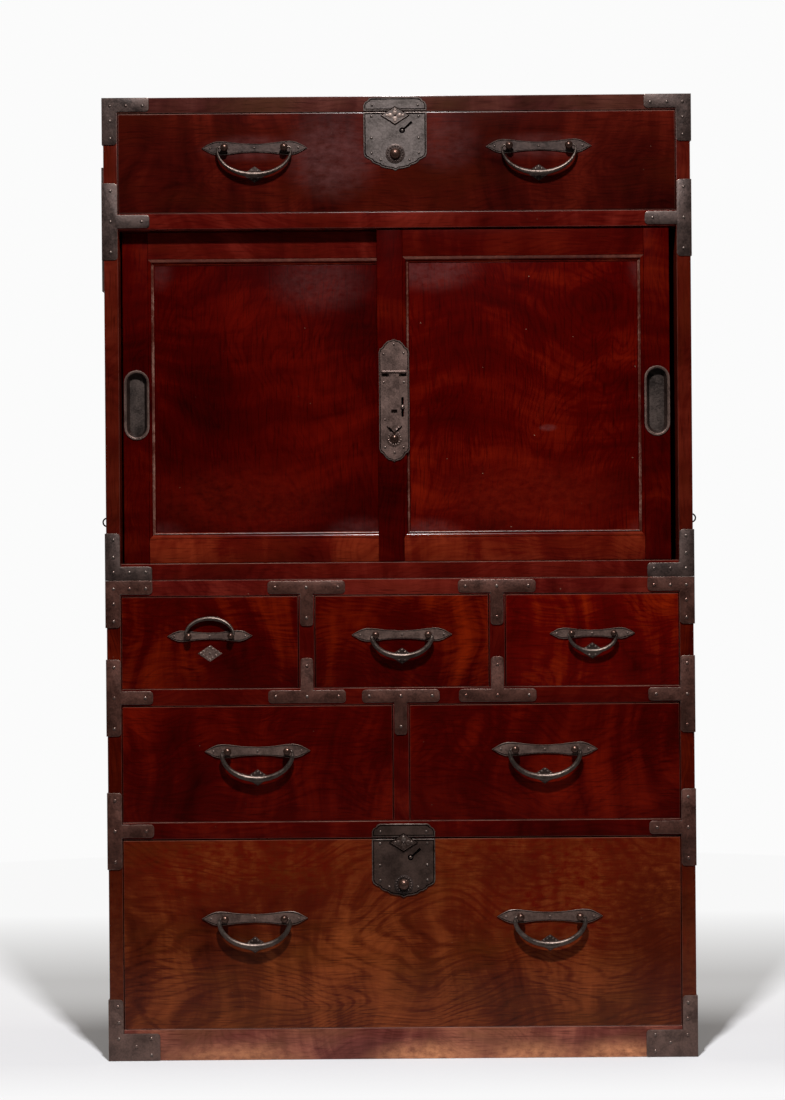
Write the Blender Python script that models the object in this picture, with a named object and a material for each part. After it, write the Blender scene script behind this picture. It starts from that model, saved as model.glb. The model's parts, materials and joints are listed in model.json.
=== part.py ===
"""Clothing chest in two stacked sections, with sliding doors, drawers and iron fittings.

Metres, +Z up, +X to the right, and the front faces -Y.
Every board, drawer, door and fitting is a solid of its own, and pieces that touch
keep a seat gap. The origin is on the floor under the middle of the whole chest.
"""
import math
from collections import namedtuple

import bmesh
import bpy
from mathutils import Matrix, Vector

# Whole chest
WIDTH = 0.909
DEPTH = 0.440
SEAT_GAP = 0.0003
SLIDE_GAP = 0.0010
CUT_OVERRUN = 0.004

# Boards of both sections
SIDE_THICKNESS = 0.022
BACK_THICKNESS = 0.010
BACK_REBATE = 0.008
SHELF_THICKNESS = 0.010
RAIL_DEPTH = 0.045
RAIL_HEIGHT = 0.026
DIVIDER_THICKNESS = 0.0245

# Lower section, from the floor up
BASE_RAIL_HEIGHT = 0.048
BASE_RAIL_DEPTH = 0.024
LARGE_OPENING_HEIGHT = 0.2945
ROW_TWO_OPENING_HEIGHT = 0.1805
ROW_ONE_OPENING_HEIGHT = 0.144
LOWER_TOP_THICKNESS = 0.0245

# Upper section, from its bottom board up
SILL_HEIGHT = 0.0255
DOOR_OPENING_HEIGHT = 0.518
DOOR_RAIL_HEIGHT = 0.0245
TOP_OPENING_HEIGHT = 0.1555
TOP_THICKNESS = 0.024

# Drawers
DRAWER_INSET = 0.0005
DRAWER_TOP_GAP = 0.0012
LARGE_DRAWER_TOP_GAP = 0.0020
DRAWER_FRONT_THICKNESS = 0.020
DRAWER_WALL = 0.012
DRAWER_BOTTOM = 0.009
DRAWER_REAR_SPACE = 0.012
DRAWER_SIDE_DROP = 0.010
DRAWER_CHAMFER = 0.0012

# Sliding doors and their tracks
DOOR_OVERLAP = 0.041
DOOR_THICKNESS = 0.015
DOOR_SETBACK = 0.004
DOOR_SPACE = 0.003
DOOR_END_GAP = 0.0005
LEFT_DOOR_AJAR = 0.0035
RIGHT_DOOR_AJAR = 0.011
DOOR_SHOULDER_GAP = 0.0008
DOOR_CHAMFER = 0.001
STILE_WIDTH = 0.0395
DOOR_TOP_RAIL = 0.0415
DOOR_BOTTOM_RAIL = 0.0375
MOULDING_WIDTH = 0.010
MOULDING_STEP = 0.001
PANEL_RECESS = 0.005
PANEL_BACK_RECESS = 0.004
TONGUE_THICKNESS = 0.007
TONGUE_GAP = 0.0004
SILL_GROOVE_DEPTH = 0.003
HEAD_GROOVE_DEPTH = 0.011
HEAD_TONGUE = 0.008
TRACK_LAND = 0.010

# Iron plates, corner irons and T irons
IRON_THICKNESS = 0.0016
CORNER_IRON_REACH = 0.073
CORNER_ARM = 0.0215
BASE_IRON_RISE = 0.095
BASE_IRON_REACH = 0.080
BASE_IRON_ARM = 0.042
SIDE_LEAF_DEPTH = 0.026
T_IRON_HEIGHT = 0.119
T_IRON_REACH = 0.071
T_IRON_ARM = 0.0205
T_BAR_LENGTH = 0.120
T_BAR_HEIGHT = 0.020
T_LEG_WIDTH = 0.020
T_LEG_REACH = 0.070
IRON_CLIP = 0.004
TALL_LEAF_HEIGHT = 0.192
TALL_LEAF_DROP = 0.108
TALL_LEAF_THICKNESS = 0.003

# Ring eyes on the sides of the upper section
RING_RADIUS = 0.0064
RING_WIRE_RADIUS = 0.0012
RING_STANDOFF = 0.0035
RING_RISE = 0.091
RING_SETBACK = 0.050

# Handles: plate, posts and bail
PLATE_THICKNESS = 0.0018
POST_NECK = 0.0028
POST_NECK_SHARE = 0.55
LARGE_PLATE_LENGTH = 0.164
LARGE_PLATE_HEIGHT = 0.0215
LARGE_POST_SPACING = 0.092
LARGE_BALL_RADIUS = 0.0062
LARGE_BAIL_WIDTH = 0.118
LARGE_BAIL_DROP = 0.047
LARGE_GRIP_RADIUS = 0.0042
LARGE_PIN_RADIUS = 0.0018
MEDIUM_PLATE_LENGTH = 0.156
MEDIUM_PLATE_HEIGHT = 0.0205
MEDIUM_POST_SPACING = 0.081
MEDIUM_BALL_RADIUS = 0.0058
MEDIUM_BAIL_WIDTH = 0.101
MEDIUM_BAIL_DROP = 0.038
MEDIUM_GRIP_RADIUS = 0.0042
MEDIUM_PIN_RADIUS = 0.0017
SMALL_PLATE_LENGTH = 0.132
SMALL_PLATE_HEIGHT = 0.017
SMALL_POST_SPACING = 0.065
SMALL_BALL_RADIUS = 0.0051
SMALL_BAIL_WIDTH = 0.082
SMALL_BAIL_DROP = 0.031
SMALL_GRIP_RADIUS = 0.0030
SMALL_PIN_RADIUS = 0.0015
TOP_HANDLE_RISE = 0.0225
SMALL_HANDLE_RISE = 0.0100
ROW_TWO_HANDLE_RISE = 0.0195
LARGE_HANDLE_RISE = 0.0240
DIAMOND_HALF_WIDTH = 0.0190
DIAMOND_HALF_HEIGHT = 0.0127
DIAMOND_THICKNESS = 0.0015

# Locks of the top drawer and the large drawer
LOCK_WIDTH = 0.098
LOCK_HEIGHT = 0.0905
LOCK_SCALLOP_HEIGHT = 0.0265
TOP_LOCK_X = -0.002
LARGE_LOCK_X = 0.0025
STRIKE_HEIGHT = 0.0205
STRIKE_EDGE_SPACE = 0.0010
BUTTON_RADIUS = 0.0085
BUTTON_DOME = 0.0075
BUTTON_SHANK = 0.0060
BUTTON_TRAVEL = 0.003
TOP_BUTTON_DROP = 0.0645
LARGE_BUTTON_DROP = 0.0705
WASHER_RADIUS = 0.0150
WASHER_THICKNESS = 0.0014
KEYHOLE_X = 0.011
KEYHOLE_DROP = 0.0285
KEYHOLE_RADIUS = 0.0046
KEYHOLE_PIN_RADIUS = 0.0024
KEYHOLE_SLOT = 0.020
KEYHOLE_SLOT_WIDTH = 0.0022
KEYHOLE_DEPTH = 0.0011
KEYHOLE_ANGLE_DEG = 39.0
FLOWER_HALF_WIDTH = 0.0215
FLOWER_HALF_HEIGHT = 0.0138
FLOWER_DROP = 0.0055
FLOWER_THICKNESS = 0.0018

# Lock of the doors
DOOR_LOCK_WIDTH = 0.047
DOOR_LOCK_HEIGHT = 0.190
DOOR_LOCK_END = 0.0195
DOOR_LOCK_INSET = 0.0254
DOOR_LOCK_RISE = 0.2507
HASP_RISE = 0.044
HASP_LENGTH = 0.094
HASP_WIDTH = 0.0155
HASP_THICKNESS = 0.0018
HASP_TIP = 0.0085
HASP_SLOT_WIDTH = 0.0092
HASP_SLOT_HEIGHT = 0.0046
HASP_SLOT_DROP = 0.061
HASP_BARREL_RADIUS = 0.0026
HASP_PIN_RADIUS = 0.0013
HINGE_SPAN = 0.036
HINGE_EAR_WIDTH = 0.0060
STUD_DROP = 0.0595
STUD_RADIUS = 0.0068
STUD_WASHER_RADIUS = 0.0120
STUD_HEIGHT = 0.0055
SLIDER_OFFSET_X = 0.0130
SLIDER_DROP = 0.0105
SLIDER_SLOT_LENGTH = 0.031
SLIDER_SLOT_WIDTH = 0.0040
SLIDER_HEAD_RADIUS = 0.0035
SLIDER_HEAD_HEIGHT = 0.0028
SLIDER_FOOT_THICKNESS = 0.0016
SLIDER_FOOT_RADIUS = 0.0032

# Finger pulls
PULL_WIDTH = 0.0395
PULL_HEIGHT = 0.110
PULL_RISE = 0.2472
PULL_RIM = 0.0030
PULL_RIM_HEIGHT = 0.0013
PULL_WALL = 0.0010
PULL_DEPTH = 0.0095
PULL_DRAFT = 0.0045
LEFT_PULL_SHIFT = 0.0012

# Places as shares of the distance from the middle to a side's inner face
LEFT_DIVIDER_SHARE = 0.3353
RIGHT_DIVIDER_SHARE = 0.3468
TOP_HANDLE_SHARE = 0.5087
LARGE_HANDLE_SHARE = 0.5283

# Shapes as shares of the sizes that they follow: half width or half length, then height
PLATE_SHARES = [
    (1.0, 0.0), (0.92, 0.36), (0.81, 0.80), (0.69, 1.0), (0.52, 0.93), (0.27, 0.70), (0.0, 0.60),
]
SCALLOP_SHARES = [
    (1.0, 0.0), (0.96, 0.18), (0.86, 0.30), (0.77, 0.37), (0.72, 0.50), (0.61, 0.61),
    (0.50, 0.67), (0.44, 0.78), (0.28, 0.86), (0.11, 0.90), (0.0, 1.0),
]
STRIKE_CORNER_SHARES = [(1.0, 0.40), (0.955, 0.64), (0.86, 0.78), (0.84, 0.90), (0.76, 1.0)]
DOOR_LOCK_END_SHARES = [
    (1.0, 0.0), (0.93, 0.22), (0.74, 0.38), (0.62, 0.60), (0.40, 0.84), (0.15, 0.91), (0.0, 1.0),
]
BAIL_TAPER_SHARE = 0.75
DIAMOND_DROP_SHARE = 0.88

# Facets
BALL_SIDES = 10
BALL_RINGS = 6
BAIL_SIDES = 8
BAIL_STEPS = 18
ROUND_SIDES = 20
SMALL_ROUND_SIDES = 12
DOME_RINGS = 4
PULL_END_STEPS = 7
RING_STEPS = 14
RING_SIDES = 6
SMOOTH_ANGLE_DEG = 35.0

# Where things stand, worked out from the sizes above
POST_STANDOFF = PLATE_THICKNESS + POST_NECK + LARGE_BALL_RADIUS
FITTING_PROUD = SEAT_GAP + POST_STANDOFF + LARGE_BALL_RADIUS
FRONT = (FITTING_PROUD - DEPTH) / 2
BACK = FRONT + DEPTH
RAIL_FRONT = FRONT + SEAT_GAP
DIVIDER_FRONT = RAIL_FRONT + SEAT_GAP
DRAWER_FRONT = FRONT + DRAWER_INSET
BACK_INNER = BACK - BACK_THICKNESS - SEAT_GAP
INNER_X = WIDTH / 2 - SIDE_THICKNESS
BOARD_END_X = INNER_X - SEAT_GAP
LEFT_DIVIDER_X = -INNER_X * LEFT_DIVIDER_SHARE
RIGHT_DIVIDER_X = INNER_X * RIGHT_DIVIDER_SHARE
TOP_HANDLE_X = INNER_X * TOP_HANDLE_SHARE
LARGE_HANDLE_X = INNER_X * LARGE_HANDLE_SHARE

LARGE_Z = BASE_RAIL_HEIGHT
SHELF_TWO_Z = LARGE_Z + LARGE_OPENING_HEIGHT
ROW_TWO_Z = SHELF_TWO_Z + RAIL_HEIGHT
SHELF_ONE_Z = ROW_TWO_Z + ROW_TWO_OPENING_HEIGHT
ROW_ONE_Z = SHELF_ONE_Z + RAIL_HEIGHT
LOWER_TOP_Z = ROW_ONE_Z + ROW_ONE_OPENING_HEIGHT
LOWER_HEIGHT = LOWER_TOP_Z + LOWER_TOP_THICKNESS
UPPER_Z = LOWER_HEIGHT + SEAT_GAP
DOOR_Z = UPPER_Z + SILL_HEIGHT
DOOR_RAIL_Z = DOOR_Z + DOOR_OPENING_HEIGHT
TOP_DRAWER_Z = DOOR_RAIL_Z + DOOR_RAIL_HEIGHT
TOP_Z = TOP_DRAWER_Z + TOP_OPENING_HEIGHT
CHEST_HEIGHT = TOP_Z + TOP_THICKNESS

DOOR_WIDTH = INNER_X + DOOR_OVERLAP / 2
RIGHT_DOOR_FRONT = FRONT + DOOR_SETBACK
LEFT_DOOR_FRONT = RIGHT_DOOR_FRONT + DOOR_THICKNESS + DOOR_SPACE
TRACK_BACK = LEFT_DOOR_FRONT + DOOR_THICKNESS + TRACK_LAND
LEFT_DOOR_X = DOOR_END_GAP + LEFT_DOOR_AJAR - INNER_X
RIGHT_DOOR_X = INNER_X - DOOR_END_GAP - RIGHT_DOOR_AJAR - DOOR_WIDTH

Handle = namedtuple("Handle", "length height spacing ball width drop grip pin")
LARGE_HANDLE = Handle(
    LARGE_PLATE_LENGTH, LARGE_PLATE_HEIGHT, LARGE_POST_SPACING, LARGE_BALL_RADIUS,
    LARGE_BAIL_WIDTH, LARGE_BAIL_DROP, LARGE_GRIP_RADIUS, LARGE_PIN_RADIUS,
)
MEDIUM_HANDLE = Handle(
    MEDIUM_PLATE_LENGTH, MEDIUM_PLATE_HEIGHT, MEDIUM_POST_SPACING, MEDIUM_BALL_RADIUS,
    MEDIUM_BAIL_WIDTH, MEDIUM_BAIL_DROP, MEDIUM_GRIP_RADIUS, MEDIUM_PIN_RADIUS,
)
SMALL_HANDLE = Handle(
    SMALL_PLATE_LENGTH, SMALL_PLATE_HEIGHT, SMALL_POST_SPACING, SMALL_BALL_RADIUS,
    SMALL_BAIL_WIDTH, SMALL_BAIL_DROP, SMALL_GRIP_RADIUS, SMALL_PIN_RADIUS,
)

world_origins = {}


# Scene and materials

def clear_scene():
    """Remove every object that is in the scene."""
    for item in list(bpy.data.objects):
        bpy.data.objects.remove(item)


def make_material(name, colour, roughness, metallic=0.0):
    """Return a Principled material."""
    made = bpy.data.materials.new(name)
    made.use_nodes = True
    shader = made.node_tree.nodes["Principled BSDF"]
    shader.inputs["Base Color"].default_value = (*colour, 1.0)
    shader.inputs["Roughness"].default_value = roughness
    shader.inputs["Metallic"].default_value = metallic
    made.diffuse_color = (*colour, 1.0)
    return made


def make_body(name, origin, parent=None):
    """Add an empty that stands for a moving body, with its origin on the joint."""
    empty = bpy.data.objects.new(name, None)
    bpy.context.collection.objects.link(empty)
    attach(empty, name, origin, parent)
    return name


def attach(item, name, origin, parent):
    """Place an object at a world point under its parent empty."""
    world_origins[name] = Vector(origin)
    if parent:
        item.parent = bpy.data.objects[parent]
        item.location = Vector(origin) - world_origins[parent]
    else:
        item.location = origin


def make_piece(name, mesh_builder, material, parent, origin=(0, 0, 0), smooth=False):
    """Turn a bmesh in world coordinates into a named object with its own origin."""
    bmesh.ops.translate(mesh_builder, vec=-Vector(origin), verts=mesh_builder.verts)
    mesh = bpy.data.meshes.new(name)
    mesh_builder.to_mesh(mesh)
    mesh_builder.free()
    mesh.materials.append(material)
    if smooth:
        mesh.shade_smooth()
        mesh.set_sharp_from_angle(angle=math.radians(SMOOTH_ANGLE_DEG))
    piece = bpy.data.objects.new(name, mesh)
    bpy.context.collection.objects.link(piece)
    attach(piece, name, origin, parent)
    return piece


def combine(piece, tool_builder, operation, material=None):
    """Join or cut a piece with a bmesh in world coordinates, and keep the result."""
    mesh = bpy.data.meshes.new("tool")
    tool_builder.to_mesh(mesh)
    tool_builder.free()
    mesh.materials.append(material or piece.data.materials[0])
    tool = bpy.data.objects.new("tool", mesh)
    bpy.context.collection.objects.link(tool)
    modifier = piece.modifiers.new("combine", "BOOLEAN")
    modifier.operation = operation
    modifier.solver = "EXACT"
    modifier.material_mode = "TRANSFER"
    modifier.object = tool
    bpy.context.view_layer.update()
    evaluated = piece.evaluated_get(bpy.context.evaluated_depsgraph_get())
    result = bpy.data.meshes.new_from_object(evaluated)
    piece.modifiers.clear()
    piece.data = result
    bpy.data.objects.remove(tool)


def add(piece, tool_builder, material=None):
    """Join a bmesh to a piece."""
    combine(piece, tool_builder, "UNION", material)


def cut(piece, tool_builder):
    """Cut a bmesh out of a piece."""
    combine(piece, tool_builder, "DIFFERENCE")


# Basic forms

def loft(rings, closed=False):
    """Return a closed solid through rings of points, capped unless it closes on itself."""
    builder = bmesh.new()
    rows = [[builder.verts.new(point) for point in ring] for ring in rings]
    pairs = list(zip(rows, rows[1:]))
    if closed:
        pairs.append((rows[-1], rows[0]))
    for lower, upper in pairs:
        for index in range(len(lower)):
            after = (index + 1) % len(lower)
            builder.faces.new((lower[index], lower[after], upper[after], upper[index]))
    if not closed:
        builder.faces.new(rows[0])
        builder.faces.new(rows[-1])
    bmesh.ops.recalc_face_normals(builder, faces=builder.faces)
    return builder


def box(low, high):
    """Return a box between two corners."""
    builder = bmesh.new()
    low, high = Vector(low), Vector(high)
    scale = Matrix.Diagonal((*(high - low), 1.0))
    bmesh.ops.create_cube(builder, size=1.0, matrix=Matrix.Translation((low + high) / 2) @ scale)
    return builder


def plate(outline, low_y, high_y):
    """Return an outline of x, z points as a plate between two depths."""
    return loft([[(x, y, z) for x, z in outline] for y in (low_y, high_y)])


def board_along_x(outline, low_x, high_x):
    """Return an outline of y, z points as a board between two x values."""
    return loft([[(x, y, z) for y, z in outline] for x in (low_x, high_x)])


def post_along_z(outline, low_z, high_z):
    """Return an outline of x, y points as a post between two heights."""
    return loft([[(x, y, z) for x, y in outline] for z in (low_z, high_z)])


def circle(centre, radius, sides):
    """Return the x, z points of a circle."""
    turn = 2 * math.pi / sides
    return [
        (centre[0] + radius * math.cos(turn * step), centre[1] + radius * math.sin(turn * step))
        for step in range(sides)
    ]


def turned(centre, profile, sides):
    """Return a solid of revolution about Y through x, z, from depth and radius pairs."""
    return loft([[(x, depth, z) for x, z in circle(centre, radius, sides)] for depth, radius in profile])


def pin_along_x(low_x, high_x, depth, height, radius, sides):
    """Return a round pin along X."""
    outline = circle((depth, height), radius, sides)
    return board_along_x(outline, low_x, high_x)


def dome(start, height, radius, rings):
    """Return depth and radius pairs of a dome that rises towards the front."""
    pairs = []
    for step in range(rings + 1):
        angle = math.pi / 2 * step / (rings + 0.5)
        pairs.append((start - height * math.sin(angle), radius * math.cos(angle)))
    return pairs


def rectangle(low_x, high_x, low_z, high_z, depth):
    """Return a ring of four points at one depth."""
    return [(low_x, depth, low_z), (high_x, depth, low_z), (high_x, depth, high_z), (low_x, depth, high_z)]


def mirrored(shares, half_width, base_z, height):
    """Return the points of a symmetric end from its right half, right to left."""
    right = [(half_width * across, base_z + height * up) for across, up in shares]
    left = [(-x, z) for x, z in reversed(right) if abs(x) > 0]
    return right + left


def shifted(outline, dx):
    """Return an outline moved along X."""
    return [(x + dx, z) for x, z in outline]


# Boards

def side_board(name, side, low_z, high_z, material, parent):
    """Add a side with a rebate for the back board."""
    rebate_y = BACK_INNER
    outline = [
        (INNER_X, FRONT), (WIDTH / 2, FRONT), (WIDTH / 2, BACK),
        (INNER_X + BACK_REBATE, BACK), (INNER_X + BACK_REBATE, rebate_y), (INNER_X, rebate_y),
    ]
    outline = [(side * x, y) for x, y in outline]
    return make_piece(name, post_along_z(outline, low_z, high_z), material, parent)


def back_board(name, low_z, high_z, material, parent):
    """Add a back board that lies in the rebates of both sides."""
    end_x = INNER_X + BACK_REBATE - SEAT_GAP
    low = (-end_x, BACK - BACK_THICKNESS, low_z)
    return make_piece(name, box(low, (end_x, BACK, high_z)), material, parent)


def cross_board(name, outline, material, parent):
    """Add a board between the sides, from the y, z outline of its section."""
    return make_piece(name, board_along_x(outline, -BOARD_END_X, BOARD_END_X), material, parent)


def plain_section(low_z, high_z):
    """Return the section of a board of one thickness."""
    return [(RAIL_FRONT, low_z), (BACK_INNER, low_z), (BACK_INNER, high_z), (RAIL_FRONT, high_z)]


def shelf_section(low_z, high_z, rail_depth):
    """Return the section of a front rail with a thin shelf behind it, level on top."""
    rail_back = RAIL_FRONT + rail_depth
    under = high_z - SHELF_THICKNESS
    return [
        (RAIL_FRONT, low_z), (rail_back, low_z), (rail_back, under),
        (BACK_INNER, under), (BACK_INNER, high_z), (RAIL_FRONT, high_z),
    ]


def groove_edges():
    """Return the front and back of both door grooves, front groove first."""
    half = TONGUE_THICKNESS / 2 + TONGUE_GAP
    middles = [front + DOOR_THICKNESS / 2 for front in (RIGHT_DOOR_FRONT, LEFT_DOOR_FRONT)]
    return [(middle - half, middle + half) for middle in middles]


def grooved(piece, edge_z, depth):
    """Cut both door grooves into a board, downwards or upwards from its edge."""
    for front, back in groove_edges():
        low_z, high_z = sorted((edge_z - math.copysign(CUT_OVERRUN, depth), edge_z + depth))
        end_x = INNER_X + CUT_OVERRUN
        cut(piece, box((-end_x, front, low_z), (end_x, back, high_z)))


def divider(name, centre_x, low_z, high_z, shelf_above, material, parent):
    """Add an upright board between two drawers, notched behind a front rail above it."""
    front, back = DIVIDER_FRONT, BACK_INNER
    top = high_z - SEAT_GAP
    low = low_z + SEAT_GAP
    outline = [(front, low), (back, low)]
    if shelf_above:
        notch = RAIL_FRONT + RAIL_DEPTH + SEAT_GAP
        under = high_z + RAIL_HEIGHT - SHELF_THICKNESS - SEAT_GAP
        outline += [(back, under), (notch, under), (notch, top), (front, top)]
    else:
        outline += [(back, top), (front, top)]
    half = DIVIDER_THICKNESS / 2
    builder = board_along_x(outline, centre_x - half, centre_x + half)
    return make_piece(name, builder, material, parent)


def build_upper_boards(wood, dark_wood):
    """Add the boards of the upper section."""
    parent = "upper_case"
    pieces = {
        "left": side_board("upper_left_side", -1, UPPER_Z, CHEST_HEIGHT, wood, parent),
        "right": side_board("upper_right_side", 1, UPPER_Z, CHEST_HEIGHT, wood, parent),
        "top": cross_board("upper_top", plain_section(TOP_Z, CHEST_HEIGHT), wood, parent),
    }
    back_board("upper_back", UPPER_Z, CHEST_HEIGHT, dark_wood, parent)
    track_depth = TRACK_BACK - RAIL_FRONT
    rail = cross_board("door_rail", shelf_section(DOOR_RAIL_Z, TOP_DRAWER_Z, track_depth), wood, parent)
    grooved(rail, DOOR_RAIL_Z, HEAD_GROOVE_DEPTH)
    sill = cross_board("upper_bottom", shelf_section(UPPER_Z, DOOR_Z, track_depth), wood, parent)
    grooved(sill, DOOR_Z, -SILL_GROOVE_DEPTH)
    return pieces


def build_lower_boards(wood, dark_wood):
    """Add the boards of the lower section."""
    parent = "lower_case"
    pieces = {
        "left": side_board("lower_left_side", -1, 0, LOWER_HEIGHT, wood, parent),
        "right": side_board("lower_right_side", 1, 0, LOWER_HEIGHT, wood, parent),
        "top": cross_board("lower_top", plain_section(LOWER_TOP_Z, LOWER_HEIGHT), wood, parent),
        "one": cross_board("shelf_one", shelf_section(SHELF_ONE_Z, ROW_ONE_Z, RAIL_DEPTH), wood, parent),
        "two": cross_board("shelf_two", shelf_section(SHELF_TWO_Z, ROW_TWO_Z, RAIL_DEPTH), wood, parent),
    }
    back_board("lower_back", 0, LOWER_HEIGHT, dark_wood, parent)
    cross_board("lower_bottom", shelf_section(0, BASE_RAIL_HEIGHT, BASE_RAIL_DEPTH), wood, parent)
    divider("divider_left", LEFT_DIVIDER_X, ROW_ONE_Z, LOWER_TOP_Z, False, wood, parent)
    divider("divider_right", RIGHT_DIVIDER_X, ROW_ONE_Z, LOWER_TOP_Z, False, wood, parent)
    divider("divider_middle", 0, ROW_TWO_Z, SHELF_ONE_Z, True, wood, parent)
    return pieces


# Irons

def fold_leaf(side, inner_x, low_z, high_z, thickness, front_y):
    """Return the leaf of an iron that lies on the outer face of a side board."""
    low_x, high_x = sorted((side * inner_x, side * (inner_x + thickness)))
    clip = IRON_CLIP
    back_y = FRONT + SIDE_LEAF_DEPTH
    outline = [
        (front_y, low_z), (back_y - clip, low_z), (back_y, low_z + clip),
        (back_y, high_z - clip), (back_y - clip, high_z), (front_y, high_z),
    ]
    return board_along_x(outline, low_x, high_x)


def corner_outline(side, up, outer_x, corner_z, rise, reach, arm_height):
    """Return the L outline of a corner iron's front leaf, with clipped ends.

    The corner is at outer_x and corner_z; up is 1 where the upright arm rises from it.
    """
    clip = IRON_CLIP
    arm_width = outer_x - WIDTH / 2 + CORNER_ARM
    corner = [
        (0, 0), (reach - clip, 0), (reach, clip), (reach, arm_height - clip), (reach - clip, arm_height),
        (arm_width, arm_height), (arm_width, rise - clip), (arm_width - clip, rise), (0, rise),
    ]
    return [(side * (outer_x - inward), corner_z + up * along) for inward, along in corner]


def corner_iron(name, side, up, corner_z, rise, reach, arm_height, iron, parent):
    """Add a corner iron: an L on the front, folded back along the side."""
    leaf_x = WIDTH / 2 + SEAT_GAP
    outer_x = leaf_x + IRON_THICKNESS
    back_y = FRONT - SEAT_GAP
    front_y = back_y - IRON_THICKNESS
    outline = corner_outline(side, up, outer_x, corner_z, rise, reach, arm_height)
    piece = make_piece(name, plate(outline, front_y, back_y), iron, parent)
    low_z, high_z = sorted((corner_z, corner_z + up * rise))
    add(piece, fold_leaf(side, leaf_x, low_z, high_z, IRON_THICKNESS, front_y))


def build_corner_irons(iron):
    """Add the corner irons of both sections."""
    reach = CORNER_IRON_REACH
    for side, word in ((-1, "left"), (1, "right")):
        corners = [
            ("upper_case", f"corner_iron_upper_top_{word}", -1, CHEST_HEIGHT, reach, reach, CORNER_ARM),
            ("upper_case", f"corner_iron_upper_bottom_{word}", 1, UPPER_Z, reach, reach, CORNER_ARM),
            ("lower_case", f"corner_iron_lower_top_{word}", -1, LOWER_HEIGHT, reach, reach, CORNER_ARM),
        ]
        for parent, name, up, corner_z, rise, across, arm in corners:
            corner_iron(name, side, up, corner_z, rise, across, arm, iron, parent)
        corner_iron(
            f"corner_iron_base_{word}", side, 1, 0, BASE_IRON_RISE, BASE_IRON_REACH, BASE_IRON_ARM,
            iron, "lower_case",
        )


def side_t_iron(carrier, side, arm_z, iron, leaf_height, leaf_drop, leaf_thickness):
    """Join a T iron to a side board: a bar on its edge, an arm on the rail, a leaf round the side."""
    outer_x = WIDTH / 2 + leaf_thickness
    bar_inner = WIDTH / 2 - CORNER_ARM
    front_y = FRONT - IRON_THICKNESS
    low_z = arm_z - T_IRON_HEIGHT / 2
    high_z = arm_z + T_IRON_HEIGHT / 2
    half_arm = T_IRON_ARM / 2
    clip = IRON_CLIP
    end_x = WIDTH / 2 - T_IRON_REACH
    right = [
        (outer_x, low_z), (outer_x, high_z), (bar_inner + clip, high_z), (bar_inner, high_z - clip),
        (bar_inner, arm_z + half_arm), (end_x + clip, arm_z + half_arm), (end_x, arm_z + half_arm - clip),
        (end_x, arm_z - half_arm + clip), (end_x + clip, arm_z - half_arm), (bar_inner, arm_z - half_arm),
        (bar_inner, low_z + clip), (bar_inner + clip, low_z),
    ]
    outline = [(side * x, z) for x, z in right]
    add(carrier, plate(outline, front_y, FRONT), iron)
    leaf_low = arm_z - leaf_drop
    leaf = fold_leaf(side, WIDTH / 2, leaf_low, leaf_low + leaf_height, leaf_thickness, front_y)
    add(carrier, leaf, iron)


def build_side_irons(upper, lower, iron):
    """Join the T irons to the four side boards."""
    upper_arm = DOOR_RAIL_Z + DOOR_RAIL_HEIGHT / 2
    half = T_IRON_HEIGHT / 2
    side_t_iron(upper["left"], -1, upper_arm, iron, TALL_LEAF_HEIGHT, TALL_LEAF_DROP, TALL_LEAF_THICKNESS)
    side_t_iron(upper["right"], 1, upper_arm, iron, T_IRON_HEIGHT, half, IRON_THICKNESS)
    for side, word in ((-1, "left"), (1, "right")):
        for rail_z in (SHELF_ONE_Z, SHELF_TWO_Z):
            arm_z = rail_z + RAIL_HEIGHT / 2
            side_t_iron(lower[word], side, arm_z, iron, T_IRON_HEIGHT, half, IRON_THICKNESS)


def divider_t_iron(carrier, centre_x, rail_z, up, iron):
    """Join a T iron to a rail: a bar on the rail and a leg on the divider, above it or below."""
    half_bar = T_BAR_LENGTH / 2
    half_leg = T_LEG_WIDTH / 2
    edge = -up * T_BAR_HEIGHT / 2
    inner = up * T_BAR_HEIGHT / 2
    tip = edge + up * T_LEG_REACH
    clip = IRON_CLIP
    right = [
        (half_bar - clip, edge), (half_bar, edge + up * clip), (half_bar, inner - up * clip),
        (half_bar - clip, inner), (half_leg, inner), (half_leg, tip - up * clip), (half_leg - clip, tip),
    ]
    points = right + [(-x, z) for x, z in reversed(right)]
    outline = [(centre_x + x, rail_z + z) for x, z in points]
    add(carrier, plate(outline, RAIL_FRONT - IRON_THICKNESS, RAIL_FRONT), iron)


def build_divider_irons(lower, iron):
    """Join the T irons that tie the dividers to the rails above and below them."""
    top_z = LOWER_TOP_Z + LOWER_TOP_THICKNESS / 2
    shelf_z = SHELF_ONE_Z + RAIL_HEIGHT / 2
    for centre_x in (LEFT_DIVIDER_X, RIGHT_DIVIDER_X):
        divider_t_iron(lower["top"], centre_x, top_z, -1, iron)
        divider_t_iron(lower["one"], centre_x, shelf_z, 1, iron)
    divider_t_iron(lower["one"], 0, shelf_z, -1, iron)


def strike_plate(carrier, centre_x, rail_z, iron):
    """Join the strike of a drawer lock to the rail above the drawer."""
    base = rail_z + STRIKE_EDGE_SPACE
    corners = mirrored(STRIKE_CORNER_SHARES, LOCK_WIDTH / 2, base, STRIKE_HEIGHT)
    outline = [(LOCK_WIDTH / 2, base)] + corners + [(-LOCK_WIDTH / 2, base)]
    add(carrier, plate(shifted(outline, centre_x), RAIL_FRONT - IRON_THICKNESS, RAIL_FRONT), iron)


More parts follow.
